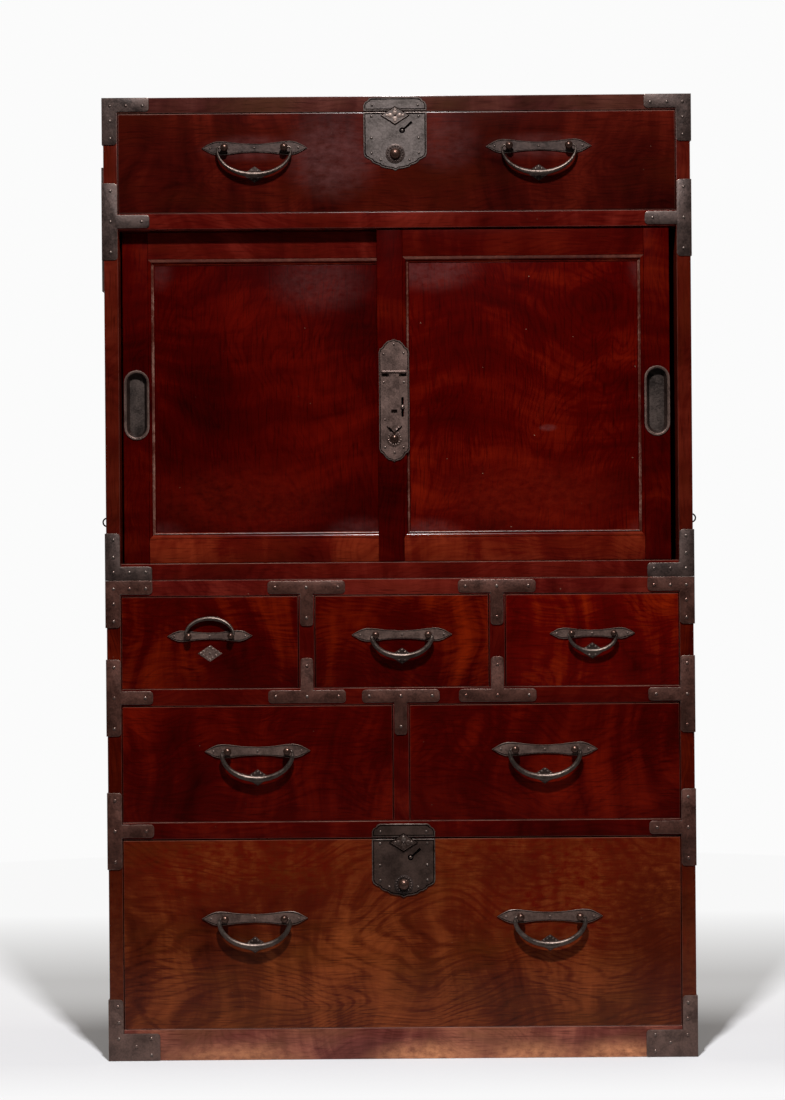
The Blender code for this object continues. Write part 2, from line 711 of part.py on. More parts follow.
def ring_eye(carrier, side, iron):
    """Join a wire ring eye to the outer face of a side board."""
    centre = Vector((side * (WIDTH / 2 + RING_STANDOFF), FRONT + RING_SETBACK, UPPER_Z + RING_RISE))
    rings = []
    for step in range(RING_STEPS):
        angle = 2 * math.pi * step / RING_STEPS
        outward = Vector((math.cos(angle), 0, math.sin(angle)))
        ring = []
        for corner in range(RING_SIDES):
            turn = 2 * math.pi * corner / RING_SIDES
            across = outward * math.cos(turn) + Vector((0, math.sin(turn), 0))
            ring.append(centre + outward * RING_RADIUS + across * RING_WIRE_RADIUS)
        rings.append(ring)
    add(carrier, loft(rings, closed=True), iron)


# Drawers

def diamond_outline(centre_x, centre_z, half_width, half_height):
    """Return the outline of a diamond."""
    return [
        (centre_x + half_width, centre_z), (centre_x, centre_z + half_height),
        (centre_x - half_width, centre_z), (centre_x, centre_z - half_height),
    ]


def make_drawer(name, opening, top_gap, wood, parent):
    """Add a drawer: a front with chamfered edges and an open box behind it.

    The opening is its low x, high x, low z and high z.
    """
    low_x, high_x = opening[0] + SLIDE_GAP, opening[1] - SLIDE_GAP
    low_z, high_z = opening[2] + SEAT_GAP, opening[3] - top_gap
    front_back = DRAWER_FRONT + DRAWER_FRONT_THICKNESS
    rear = BACK_INNER - DRAWER_REAR_SPACE
    edge = DRAWER_CHAMFER
    front = loft([
        rectangle(low_x + edge, high_x - edge, low_z + edge, high_z - edge, DRAWER_FRONT),
        rectangle(low_x, high_x, low_z, high_z, DRAWER_FRONT + edge),
        rectangle(low_x, high_x, low_z, high_z, front_back),
    ])
    origin = ((low_x + high_x) / 2, DRAWER_FRONT, (low_z + high_z) / 2)
    make_body(f"{name}_body", origin, parent)
    drawer = make_piece(name, front, wood, f"{name}_body", origin)
    side_top = high_z - DRAWER_SIDE_DROP
    tray_front = DRAWER_FRONT + DRAWER_FRONT_THICKNESS / 2
    add(drawer, box((low_x, tray_front, low_z), (high_x, rear, side_top)))
    cut(drawer, box(
        (low_x + DRAWER_WALL, front_back, low_z + DRAWER_BOTTOM),
        (high_x - DRAWER_WALL, rear - DRAWER_WALL, high_z + CUT_OVERRUN),
    ))
    return drawer


def post_standoff(handle):
    """Return how far a handle's pivot stands off the drawer's front."""
    return SEAT_GAP + PLATE_THICKNESS + POST_NECK + handle.ball


def make_handle_plate(name, handle, centre_x, centre_z, iron, parent):
    """Add a handle's plate with its two ball-headed posts, bored for the bail's pins."""
    half_length, half_height = handle.length / 2, handle.height / 2
    upper = mirrored(PLATE_SHARES, half_length, 0, half_height)
    lower = [(x, -z) for x, z in reversed(upper[1:-1])]
    outline = [(centre_x + x, centre_z + z) for x, z in upper + lower]
    back_y = DRAWER_FRONT - SEAT_GAP
    face_y = back_y - PLATE_THICKNESS
    pivot_y = DRAWER_FRONT - post_standoff(handle)
    origin = (centre_x, back_y, centre_z)
    piece = make_piece(name, plate(outline, face_y, back_y), iron, parent, origin, True)
    neck = handle.ball * POST_NECK_SHARE
    neck_angle = math.asin(POST_NECK_SHARE)
    for side in (-1, 1):
        post = (centre_x + side * handle.spacing / 2, centre_z)
        profile = [(back_y - PLATE_THICKNESS / 2, neck), (face_y, neck)]
        for step in range(BALL_RINGS + 1):
            angle = neck_angle + (math.pi - neck_angle) * step / (BALL_RINGS + 0.5)
            profile.append((pivot_y + handle.ball * math.cos(angle), handle.ball * math.sin(angle)))
        add(piece, turned(post, profile, BALL_SIDES))
        reach = handle.ball + CUT_OVERRUN
        bore = handle.pin + SEAT_GAP
        cut(piece, pin_along_x(post[0] - reach, post[0] + reach, pivot_y, centre_z, bore, BALL_SIDES))
    return pivot_y


def bail_path(handle):
    """Return the bail's centre line as x, z points from the left post to the right one."""
    outer = handle.width / 2 - handle.pin
    post = handle.spacing / 2
    bend = (outer - post - handle.ball * POST_NECK_SHARE) / 2
    depth = handle.drop - handle.grip - bend
    points = [(-post + handle.ball / 2, 0), (-outer + bend, 0)]
    points.append((-outer + bend * (1 - math.sin(math.pi / 4)), -bend * (1 - math.cos(math.pi / 4))))
    steps = BAIL_STEPS
    for step in range(steps + 1):
        angle = math.pi + math.pi * step / steps
        points.append((outer * math.cos(angle), -bend + depth * math.sin(angle)))
    points += [(-x, z) for x, z in reversed(points[:3])]
    return points


def bail_radius(handle, x):
    """Return the bail's radius where its centre line is at x: thin ends, a heavy grip."""
    share = max(0.0, 1 - abs(x) / (handle.width / 2 - handle.pin))
    return handle.pin + (handle.grip - handle.pin) * share ** BAIL_TAPER_SHARE


def make_bail(name, handle, pivot, raised_deg, iron, parent):
    """Add a bail that hangs from its two posts, or is raised about them."""
    path = bail_path(handle)
    rings = []
    for index, point in enumerate(path):
        before = path[max(index - 1, 0)]
        after = path[min(index + 1, len(path) - 1)]
        along = Vector((after[0] - before[0], 0, after[1] - before[1])).normalized()
        across = Vector((along.z, 0, -along.x))
        radius = handle.pin if index < 3 or index > len(path) - 4 else bail_radius(handle, point[0])
        ring = []
        for corner in range(BAIL_SIDES):
            turn = 2 * math.pi * (corner + 0.5) / BAIL_SIDES
            offset = across * math.cos(turn) + Vector((0, math.sin(turn), 0))
            ring.append(Vector((point[0], 0, point[1])) + offset * radius)
        rings.append(ring)
    make_body(f"{name}_body", pivot, parent)
    bail = make_piece(name, loft(rings), iron, f"{name}_body", (0, 0, 0), True)
    bail.location = (0, 0, 0)
    bail.rotation_euler = (-math.radians(raised_deg), 0, 0)


def lean_deg(handle, stop_thickness):
    """Return how far a bail leans past upright before its grip meets what stops it."""
    room = post_standoff(handle) - handle.grip - stop_thickness - SEAT_GAP
    return math.degrees(math.asin(room / handle.drop))


def fit_handle(drawer, label, handle, centre_x, centre_z, iron, raised=False):
    """Fit a handle and the diamond plate that its bail knocks on to a drawer."""
    body = f"{drawer.name}_body"
    diamond_z = centre_z - handle.drop * DIAMOND_DROP_SHARE
    outline = diamond_outline(centre_x, diamond_z, DIAMOND_HALF_WIDTH, DIAMOND_HALF_HEIGHT)
    local = drawer_plate(outline, DIAMOND_THICKNESS)
    add(drawer, local, iron)
    pivot_y = make_handle_plate(f"handle_plate_{label}", handle, centre_x, centre_z, iron, body)
    angle = 180 + lean_deg(handle, 0) if raised else 0
    make_bail(f"bail_{label}", handle, (centre_x, pivot_y, centre_z), angle, iron, body)


def drawer_plate(outline, thickness):
    """Return a plate that stands on a drawer's front and is rooted a little way into it."""
    return plate(outline, DRAWER_FRONT - thickness, DRAWER_FRONT + thickness)


# Locks of the drawers

def keyhole_tool(centre_x, centre_z, face_y):
    """Return the ring of a keyhole round its pin, and its slot, as two cutters."""
    outer = circle((centre_x, centre_z), KEYHOLE_RADIUS, SMALL_ROUND_SIDES)
    inner = circle((centre_x, centre_z), KEYHOLE_PIN_RADIUS, SMALL_ROUND_SIDES)
    depths = (face_y - CUT_OVERRUN, face_y + KEYHOLE_DEPTH)
    rings = [[(x, y, z) for x, z in outline] for outline, y in (
        (outer, depths[0]), (outer, depths[1]), (inner, depths[1]), (inner, depths[0]),
    )]
    angle = math.radians(KEYHOLE_ANGLE_DEG)
    along = Vector((math.cos(angle), math.sin(angle)))
    across = Vector((-along.y, along.x)) * KEYHOLE_SLOT_WIDTH / 2
    start = Vector((centre_x, centre_z)) + along * (KEYHOLE_RADIUS + KEYHOLE_PIN_RADIUS) / 2
    end = Vector((centre_x, centre_z)) + along * KEYHOLE_SLOT
    slot = [tuple(start - across), tuple(end - across), tuple(end + across), tuple(start + across)]
    return loft(rings, closed=True), plate(slot, *depths)


def make_drawer_lock(drawer, label, centre_x, top_z, button_drop, iron):
    """Fit a lock plate with keyhole, flower and push button to a drawer."""
    body = f"{drawer.name}_body"
    back_y = DRAWER_FRONT - SEAT_GAP
    face_y = back_y - IRON_THICKNESS
    straight = top_z - LOCK_HEIGHT + LOCK_SCALLOP_HEIGHT
    scallop = mirrored(SCALLOP_SHARES, LOCK_WIDTH / 2, straight, -LOCK_SCALLOP_HEIGHT)
    outline = [(LOCK_WIDTH / 2, top_z)] + scallop + [(-LOCK_WIDTH / 2, top_z)]
    origin = (centre_x, back_y, top_z)
    base_plate = plate(shifted(outline, centre_x), face_y, back_y)
    lock = make_piece(f"{label}_plate", base_plate, iron, body, origin)
    add_flower(lock, centre_x, top_z, face_y)
    button_z = top_z - button_drop
    washer = [(back_y - IRON_THICKNESS / 2, WASHER_RADIUS), (face_y, WASHER_RADIUS)]
    washer.append((face_y - WASHER_THICKNESS, (WASHER_RADIUS + BUTTON_RADIUS) / 2))
    add(lock, turned((centre_x, button_z), washer, ROUND_SIDES))
    hole = BUTTON_RADIUS + SEAT_GAP
    bore_end = DRAWER_FRONT + BUTTON_SHANK + BUTTON_TRAVEL
    bore = [(face_y - CUT_OVERRUN, hole), (bore_end, hole)]
    cut(lock, turned((centre_x, button_z), bore, ROUND_SIDES))
    cut(drawer, turned((centre_x, button_z), bore, ROUND_SIDES))
    for tool in keyhole_tool(centre_x + KEYHOLE_X, top_z - KEYHOLE_DROP, face_y):
        cut(lock, tool)
    dome_start = face_y - WASHER_THICKNESS
    shank_end = bore_end - BUTTON_TRAVEL - SEAT_GAP
    profile = [(shank_end, BUTTON_RADIUS)] + dome(dome_start, BUTTON_DOME, BUTTON_RADIUS, DOME_RINGS)
    origin = (centre_x, dome_start, button_z)
    make_body(f"{label}_button_body", origin, body)
    make_piece(
        f"{label}_button", turned((centre_x, button_z), profile, ROUND_SIDES), iron,
        f"{label}_button_body", origin, True,
    )


def add_flower(lock, centre_x, top_z, face_y):
    """Join the flower diamond that laps over the strike above a lock plate."""
    centre_z = top_z - FLOWER_DROP
    outline = diamond_outline(centre_x, centre_z, FLOWER_HALF_WIDTH, FLOWER_HALF_HEIGHT)
    back_y = face_y - 2 * SEAT_GAP
    add(lock, plate(outline, back_y - FLOWER_THICKNESS, back_y))
    foot_top = top_z - SEAT_GAP
    foot_bottom = centre_z - FLOWER_HALF_HEIGHT / 2
    foot_x = FLOWER_HALF_WIDTH / 2
    low = (centre_x - foot_x, back_y - FLOWER_THICKNESS / 2, foot_bottom)
    add(lock, box(low, (centre_x + foot_x, face_y + IRON_THICKNESS / 2, foot_top)))


# Doors

def door_frame(low_x, front_y):
    """Return a framed panel door with a moulding, recessed on both faces."""
    low_z, high_z = DOOR_Z + DOOR_SHOULDER_GAP, DOOR_RAIL_Z - DOOR_SHOULDER_GAP
    high_x = low_x + DOOR_WIDTH

    def ring(inset, frame_share, depth):
        stile = inset + frame_share * STILE_WIDTH
        return rectangle(
            low_x + stile, high_x - stile,
            low_z + inset + frame_share * DOOR_BOTTOM_RAIL, high_z - inset - frame_share * DOOR_TOP_RAIL,
            front_y + depth,
        )

    step = MOULDING_STEP
    return loft([
        ring(0, 1, DOOR_THICKNESS - PANEL_BACK_RECESS),
        ring(0, 1, DOOR_THICKNESS),
        ring(0, 0, DOOR_THICKNESS),
        ring(0, 0, DOOR_CHAMFER),
        ring(DOOR_CHAMFER, 0, 0),
        ring(0, 1, 0),
        ring(step, 1, step),
        ring(MOULDING_WIDTH / 2, 1, step),
        ring(MOULDING_WIDTH, 1, PANEL_RECESS),
    ])


def make_door(name, low_x, front_y, wood):
    """Add a sliding door with tongues that run in the sill and the rail."""
    middle = front_y + DOOR_THICKNESS / 2
    half = TONGUE_THICKNESS / 2
    high_x = low_x + DOOR_WIDTH
    origin = (low_x + DOOR_WIDTH / 2, front_y, DOOR_Z)
    make_body(f"{name}_body", origin, "upper_case")
    door = make_piece(name, door_frame(low_x, front_y), wood, f"{name}_body", origin)
    foot = DOOR_Z - SILL_GROOVE_DEPTH + SEAT_GAP
    head = DOOR_RAIL_Z + HEAD_TONGUE
    root = DOOR_SHOULDER_GAP + DOOR_THICKNESS
    add(door, box((low_x, middle - half, foot), (high_x, middle + half, DOOR_Z + root)))
    add(door, box((low_x, middle - half, DOOR_RAIL_Z - root), (high_x, middle + half, head)))
    return door


def obround(centre_x, centre_z, half_width, half_height, depth):
    """Return a ring of points round an upright slot with round ends."""
    straight = half_height - half_width
    ring = []
    for side, start in ((1, 0), (-1, math.pi)):
        for step in range(PULL_END_STEPS + 1):
            angle = start + math.pi * step / PULL_END_STEPS
            x = centre_x + half_width * math.cos(angle)
            z = centre_z + side * straight + half_width * math.sin(angle)
            ring.append((x, depth, z))
    return ring


def make_pull(name, door, centre_x, front_y, iron):
    """Fit a finger pull, a dished cup with a rounded rim, into a door's stile."""
    centre_z = DOOR_Z + PULL_RISE
    seat = front_y - SEAT_GAP
    wall = PULL_RIM + PULL_WALL
    floor = front_y + PULL_DEPTH

    def ring(inset, depth):
        return obround(centre_x, centre_z, PULL_WIDTH / 2 - inset, PULL_HEIGHT / 2 - inset, depth)

    rings = [
        ring(PULL_RIM + PULL_DRAFT, floor),
        ring(PULL_RIM, front_y + PULL_WALL),
        ring(PULL_RIM, seat),
        ring(0, seat),
        ring(0, seat - PULL_RIM_HEIGHT / 2),
        ring(PULL_RIM / 3, seat - PULL_RIM_HEIGHT),
        ring(PULL_RIM, seat - PULL_RIM_HEIGHT),
        ring(wall, seat),
        ring(wall, front_y + PULL_WALL),
        ring(wall + PULL_DRAFT, floor - PULL_WALL),
    ]
    origin = (centre_x, front_y, centre_z)
    make_piece(name, loft(rings), iron, f"{door.name}_body", origin, True)
    pocket = [
        ring(PULL_RIM - SEAT_GAP, front_y - CUT_OVERRUN),
        ring(PULL_RIM - SEAT_GAP, front_y + PULL_WALL + SEAT_GAP),
        ring(PULL_RIM + PULL_DRAFT - SEAT_GAP, floor + SEAT_GAP),
    ]
    cut(door, loft(pocket))


# Lock of the doors

def make_door_lock(door, iron):
    """Fit the long lock plate with its hinged hasp, stud and slider to the right door."""
    centre_x = RIGHT_DOOR_X + DOOR_LOCK_INSET
    centre_z = DOOR_Z + DOOR_LOCK_RISE
    back_y = RIGHT_DOOR_FRONT - SEAT_GAP
    face_y = back_y - PLATE_THICKNESS
    straight = DOOR_LOCK_HEIGHT / 2 - DOOR_LOCK_END
    upper = mirrored(DOOR_LOCK_END_SHARES, DOOR_LOCK_WIDTH / 2, straight, DOOR_LOCK_END)
    outline = upper + [(x, -z) for x, z in reversed(upper)]
    outline = [(centre_x + x, centre_z + z) for x, z in outline]
    body = f"{door.name}_body"
    origin = (centre_x, back_y, centre_z)
    lock = make_piece("door_lock_plate", plate(outline, face_y, back_y), iron, body, origin, True)
    add_stud(lock, centre_x, centre_z, face_y)
    hinge = (centre_x, face_y - SEAT_GAP - HASP_BARREL_RADIUS, centre_z + HASP_RISE)
    add_hinge_ears(lock, hinge, face_y)
    make_hasp(hinge, iron, body)
    make_slider(lock, door, (centre_x + SLIDER_OFFSET_X, face_y, centre_z - SLIDER_DROP), iron, body)


def add_stud(lock, centre_x, centre_z, face_y):
    """Join the domed stud and its washer below the hasp's tip."""
    centre = (centre_x, centre_z - STUD_DROP)
    rooted = face_y + PLATE_THICKNESS / 2
    washer = [(rooted, STUD_WASHER_RADIUS), (face_y, STUD_WASHER_RADIUS)]
    washer.append((face_y - SEAT_GAP, STUD_WASHER_RADIUS - SEAT_GAP))
    add(lock, turned(centre, washer, ROUND_SIDES))
    stud = [(rooted, STUD_RADIUS)] + dome(face_y - SEAT_GAP, STUD_HEIGHT, STUD_RADIUS, DOME_RINGS)
    add(lock, turned(centre, stud, ROUND_SIDES))


def add_hinge_ears(lock, hinge, face_y):
    """Join the two ears that hold the hasp's pins."""
    radius = HASP_BARREL_RADIUS
    bore = HASP_PIN_RADIUS + SEAT_GAP
    for side in (-1, 1):
        outer = hinge[0] + side * HINGE_SPAN / 2
        low_x, high_x = sorted((outer, outer - side * HINGE_EAR_WIDTH))
        add(lock, pin_along_x(low_x, high_x, hinge[1], hinge[2], radius, SMALL_ROUND_SIDES))
        low = (low_x, hinge[1], hinge[2] - radius)
        add(lock, box(low, (high_x, face_y + PLATE_THICKNESS / 2, hinge[2] + radius)))
        start_x, end_x = low_x - CUT_OVERRUN, high_x + CUT_OVERRUN
        cut(lock, pin_along_x(start_x, end_x, hinge[1], hinge[2], bore, SMALL_ROUND_SIDES))


def make_hasp(hinge, iron, parent):
    """Add the hasp: a barrel with pin ends, and a slotted strap with a pointed tip."""
    x, y, z = hinge
    barrel = HINGE_SPAN / 2 - HINGE_EAR_WIDTH - SEAT_GAP
    pins = HINGE_SPAN / 2 - SEAT_GAP
    radius = HASP_BARREL_RADIUS
    make_body("door_lock_hasp_body", hinge, parent)
    builder = pin_along_x(x - barrel, x + barrel, y, z, radius, SMALL_ROUND_SIDES)
    hasp = make_piece("door_lock_hasp", builder, iron, "door_lock_hasp_body", hinge, True)
    add(hasp, pin_along_x(x - pins, x + pins, y, z, HASP_PIN_RADIUS, SMALL_ROUND_SIDES))
    half = HASP_WIDTH / 2
    tip = z - HASP_LENGTH
    strap = [(x - half, z), (x - half, tip + HASP_TIP), (x, tip), (x + half, tip + HASP_TIP), (x + half, z)]
    back = y + HASP_THICKNESS / 2
    add(hasp, plate(strap, y - HASP_THICKNESS / 2, back))
    slot_z = z - HASP_SLOT_DROP
    low = (x - HASP_SLOT_WIDTH / 2, y - CUT_OVERRUN, slot_z - HASP_SLOT_HEIGHT / 2)
    cut(hasp, box(low, (x + HASP_SLOT_WIDTH / 2, y + CUT_OVERRUN, slot_z + HASP_SLOT_HEIGHT / 2)))


def make_slider(lock, door, place, iron, parent):
    """Add the bolt's slider, and cut its slot in the plate and its pocket in the stile."""
    x, face_y, z = place
    back_y = face_y + PLATE_THICKNESS
    half_slot = SLIDER_SLOT_LENGTH / 2
    half_width = SLIDER_SLOT_WIDTH / 2
    slot = [(px, pz) for px, _, pz in obround(x, z, half_width, half_slot, 0)]
    cut(lock, plate(slot, face_y - CUT_OVERRUN, back_y + CUT_OVERRUN))
    pocket_depth = RIGHT_DOOR_FRONT + SLIDER_FOOT_THICKNESS + 2 * SEAT_GAP
    half_pocket = half_slot + SLIDER_FOOT_RADIUS - half_width + SEAT_GAP
    foot_room = SLIDER_FOOT_RADIUS + SEAT_GAP
    low = (x - foot_room, RIGHT_DOOR_FRONT - CUT_OVERRUN, z - half_pocket)
    cut(door, box(low, (x + foot_room, pocket_depth, z + half_pocket)))
    shank = half_width - SEAT_GAP
    head_back = face_y - SEAT_GAP
    foot_front = back_y + SEAT_GAP
    profile = [
        (foot_front + SLIDER_FOOT_THICKNESS, SLIDER_FOOT_RADIUS), (foot_front, SLIDER_FOOT_RADIUS),
        (foot_front, shank), (head_back, shank), (head_back, SLIDER_HEAD_RADIUS),
    ]
    profile += dome(head_back, SLIDER_HEAD_HEIGHT, SLIDER_HEAD_RADIUS, DOME_RINGS)[1:]
    make_body("door_lock_slider_body", (x, face_y, z), parent)
    builder = turned((x, z), profile, SMALL_ROUND_SIDES)
    make_piece("door_lock_slider", builder, iron, "door_lock_slider_body", (x, face_y, z), True)


# Whole chest

def drawer_middle(opening):
    """Return the middle x and z of a drawer's opening."""
    return (opening[0] + opening[1]) / 2, (opening[2] + opening[3]) / 2


def build_drawers(wood, figured_wood, iron):
    """Add every drawer with its handles, and the locks of the top and the large one."""
    half = DIVIDER_THICKNESS / 2
    top = (-INNER_X, INNER_X, TOP_DRAWER_Z, TOP_Z)
    drawer = make_drawer("drawer_top", top, DRAWER_TOP_GAP, wood, "upper_case")
    middle_z = drawer_middle(top)[1] + TOP_HANDLE_RISE
    fit_handle(drawer, "top_left", LARGE_HANDLE, -TOP_HANDLE_X, middle_z, iron)
    fit_handle(drawer, "top_right", LARGE_HANDLE, TOP_HANDLE_X, middle_z, iron)
    make_drawer_lock(drawer, "top_lock", TOP_LOCK_X, TOP_Z - DRAWER_TOP_GAP, TOP_BUTTON_DROP, iron)

    edges = [-INNER_X, LEFT_DIVIDER_X - half, LEFT_DIVIDER_X + half, RIGHT_DIVIDER_X - half]
    edges += [RIGHT_DIVIDER_X + half, INNER_X]
    small_row = (("left", SMALL_HANDLE), ("middle", MEDIUM_HANDLE), ("right", SMALL_HANDLE))
    for index, (word, handle) in enumerate(small_row):
        opening = (edges[2 * index], edges[2 * index + 1], ROW_ONE_Z, LOWER_TOP_Z)
        drawer = make_drawer(f"drawer_small_{word}", opening, DRAWER_TOP_GAP, wood, "lower_case")
        middle_x, middle_z = drawer_middle(opening)
        place_z = middle_z + SMALL_HANDLE_RISE
        fit_handle(drawer, f"small_{word}", handle, middle_x, place_z, iron, raised=word == "left")

    for word, low_x, high_x in (("left", -INNER_X, -half), ("right", half, INNER_X)):
        opening = (low_x, high_x, ROW_TWO_Z, SHELF_ONE_Z)
        drawer = make_drawer(f"drawer_row_two_{word}", opening, DRAWER_TOP_GAP, wood, "lower_case")
        middle_x, middle_z = drawer_middle(opening)
        fit_handle(drawer, f"row_two_{word}", LARGE_HANDLE, middle_x, middle_z + ROW_TWO_HANDLE_RISE, iron)

    large = (-INNER_X, INNER_X, LARGE_Z, SHELF_TWO_Z)
    drawer = make_drawer("drawer_large", large, LARGE_DRAWER_TOP_GAP, figured_wood, "lower_case")
    middle_z = drawer_middle(large)[1] + LARGE_HANDLE_RISE
    fit_handle(drawer, "large_left", LARGE_HANDLE, -LARGE_HANDLE_X, middle_z, iron)
    fit_handle(drawer, "large_right", LARGE_HANDLE, LARGE_HANDLE_X, middle_z, iron)
    lock_top = SHELF_TWO_Z - LARGE_DRAWER_TOP_GAP
    make_drawer_lock(drawer, "large_lock", LARGE_LOCK_X, lock_top, LARGE_BUTTON_DROP, iron)


def build_doors(wood, iron):
    """Add the two sliding doors with their pulls and the lock."""
    left = make_door("door_left", LEFT_DOOR_X, LEFT_DOOR_FRONT, wood)
    pull_x = LEFT_DOOR_X + STILE_WIDTH / 2 + LEFT_PULL_SHIFT
    make_pull("door_pull_left", left, pull_x, LEFT_DOOR_FRONT, iron)
    right = make_door("door_right", RIGHT_DOOR_X, RIGHT_DOOR_FRONT, wood)
    pull_x = RIGHT_DOOR_X + DOOR_WIDTH - STILE_WIDTH / 2
    make_pull("door_pull_right", right, pull_x, RIGHT_DOOR_FRONT, iron)
    make_door_lock(right, iron)


def main():
    """Build the whole chest."""
    clear_scene()
    wood = make_material("red_lacquered_wood", (0.13, 0.012, 0.006), 0.35)
    figured_wood = make_material("figured_lacquered_wood", (0.16, 0.035, 0.012), 0.35)
    dark_wood = make_material("plain_back_wood", (0.16, 0.09, 0.05), 0.7)
    iron = make_material("dark_iron", (0.075, 0.062, 0.055), 0.5, 0.7)
    make_body("lower_case", (0, 0, 0))
    make_body("upper_case", (0, 0, UPPER_Z), "lower_case")
    upper = build_upper_boards(wood, dark_wood)
    lower = build_lower_boards(wood, dark_wood)
    build_side_irons(upper, lower, iron)
    build_divider_irons(lower, iron)
    strike_plate(upper["top"], TOP_LOCK_X, TOP_Z, iron)
    strike_plate(lower["two"], LARGE_LOCK_X, SHELF_TWO_Z, iron)
    ring_eye(upper["left"], -1, iron)
    ring_eye(upper["right"], 1, iron)
    build_corner_irons(iron)
    build_drawers(wood, figured_wood, iron)
    build_doors(wood, iron)


main()
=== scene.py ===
"""Looks of the two-section clothing chest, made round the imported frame.

Metres, +Z up, +X to the right, and the front faces -Y. Every board, iron and nail
is a mesh that stands in the space of the frame's solid that it replaces.
"""

import json
import math

import bmesh
import bpy
from mathutils import Matrix, Vector

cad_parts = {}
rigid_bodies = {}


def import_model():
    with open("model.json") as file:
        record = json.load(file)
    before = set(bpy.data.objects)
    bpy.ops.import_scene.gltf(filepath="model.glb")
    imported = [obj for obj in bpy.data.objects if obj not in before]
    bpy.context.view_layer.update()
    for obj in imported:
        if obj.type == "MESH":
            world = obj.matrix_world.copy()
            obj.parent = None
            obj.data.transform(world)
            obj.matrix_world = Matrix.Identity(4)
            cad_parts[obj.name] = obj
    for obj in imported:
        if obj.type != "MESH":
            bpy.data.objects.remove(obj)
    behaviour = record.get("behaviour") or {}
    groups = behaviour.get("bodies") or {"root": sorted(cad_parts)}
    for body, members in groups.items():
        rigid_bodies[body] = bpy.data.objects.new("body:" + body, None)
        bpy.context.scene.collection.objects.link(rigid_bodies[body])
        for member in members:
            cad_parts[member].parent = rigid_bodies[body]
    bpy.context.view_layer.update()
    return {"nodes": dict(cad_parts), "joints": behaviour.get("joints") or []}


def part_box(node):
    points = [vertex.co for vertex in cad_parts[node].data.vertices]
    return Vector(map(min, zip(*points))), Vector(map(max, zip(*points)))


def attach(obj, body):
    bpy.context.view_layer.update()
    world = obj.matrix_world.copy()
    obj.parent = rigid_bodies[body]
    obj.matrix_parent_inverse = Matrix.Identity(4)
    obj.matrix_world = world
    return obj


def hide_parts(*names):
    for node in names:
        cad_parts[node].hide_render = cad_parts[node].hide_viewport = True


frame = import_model()
pivots = {joint["child"]: Vector(joint["pos_m"]) for joint in frame["joints"] if "pos_m" in joint}

# Photograph
PHOTO_WIDTH, PHOTO_HEIGHT = 785, 1100
PHOTO_SPAN = 1.7035
CAMERA_DISTANCE = 4.0
CAMERA_X, CAMERA_Z = -0.011, 0.788
CAMERA_ROLL_DEG = 0.45
SENSOR = 36.0

# Gaps and board sizes that the frame was built with
SEAT_GAP = 0.0003
SIDE_THICKNESS = 0.022
BACK_REBATE = 0.008
SHELF_THICKNESS = 0.010
RAIL_DEPTH = 0.045
BASE_RAIL_DEPTH = 0.024
ARRIS = 0.0009
DRAWER_ARRIS = 0.0013

# Where the case stands
rail_low, rail_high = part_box("lower_bottom")
INNER_X = rail_high.x + SEAT_GAP
HALF_WIDTH = INNER_X + SIDE_THICKNESS
FRONT = rail_low.y - SEAT_GAP
RAIL_FRONT = rail_low.y
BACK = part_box("upper_back")[1].y
BACK_INNER = rail_high.y
LOWER_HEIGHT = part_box("lower_back")[1].z
UPPER_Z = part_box("upper_back")[0].z
CHEST_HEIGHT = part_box("upper_back")[1].z

# Drawers
DRAWER_FRONT = FRONT + 0.0005
DRAWER_FRONT_THICKNESS = 0.020
DRAWER_WALL = 0.012
DRAWER_BOTTOM = 0.009
DRAWER_SIDE_DROP = 0.010
JOINT_GAP = 0.0002

# Doors
DOOR_THICKNESS = 0.015
STILE_WIDTH = 0.0395
DOOR_TOP_RAIL = 0.0415
DOOR_BOTTOM_RAIL = 0.0375
MOULDING_WIDTH = 0.010
PANEL_RECESS = 0.005
PANEL_BACK_RECESS = 0.004
DOOR_SHOULDER_GAP = 0.0008
DOOR_HEAD_GAP = 0.0026
FRAME_ARRIS = 0.0010
MOULDING_SHARES = [
    (0.02, 0.12), (0.07, 0.02), (0.15, 0.02), (0.40, 0.04), (0.49, 0.12), (0.54, 0.50),
    (0.62, 0.86), (0.70, 0.74), (0.79, 0.62), (0.87, 0.72), (0.91, 0.88), (1.0, 1.0),
]
BEAD_START, BEAD_END = 0.58, 0.90
OUTER_BAND_END = 0.50
TONGUE_THICKNESS = 0.007
TONGUE_GAP = 0.0004
SILL_GROOVE_DEPTH = 0.003
HEAD_GROOVE_DEPTH = 0.011
TRACK_LAND = 0.010

# Irons
IRON_THICKNESS = 0.0016
IRON_BEVEL = 0.0007
IRON_ROUND = 0.0055
CORNER_IRON_REACH = 0.073
CORNER_ARM = 0.0215
BASE_IRON_RISE = 0.095
BASE_IRON_REACH = 0.080
BASE_IRON_ARM = 0.042
SIDE_LEAF_DEPTH = 0.026
T_IRON_HEIGHT = 0.119
T_IRON_REACH = 0.071
T_IRON_ARM = 0.0205
T_BAR_LENGTH = 0.120
T_BAR_HEIGHT = 0.020
T_LEG_WIDTH = 0.020
T_LEG_REACH = 0.070
TALL_LEAF_HEIGHT = 0.192
TALL_LEAF_DROP = 0.108
TALL_LEAF_THICKNESS = 0.003
NAIL_RADIUS = 0.0025
NAIL_HEIGHT = 0.0015
CORNER_NAILS = [(0.013, 0.0125), (0.0375, 0.0125), (0.063, 0.0125), (0.0130, 0.036), (0.0130, 0.063)]
BASE_NAILS = [
    (0.0150, 0.084), (0.0160, 0.0592), (0.0160, 0.0344),
    (0.0427, 0.0223), (0.0663, 0.0344), (0.0666, 0.009),
]
T_NAIL_SPREAD = 0.0475
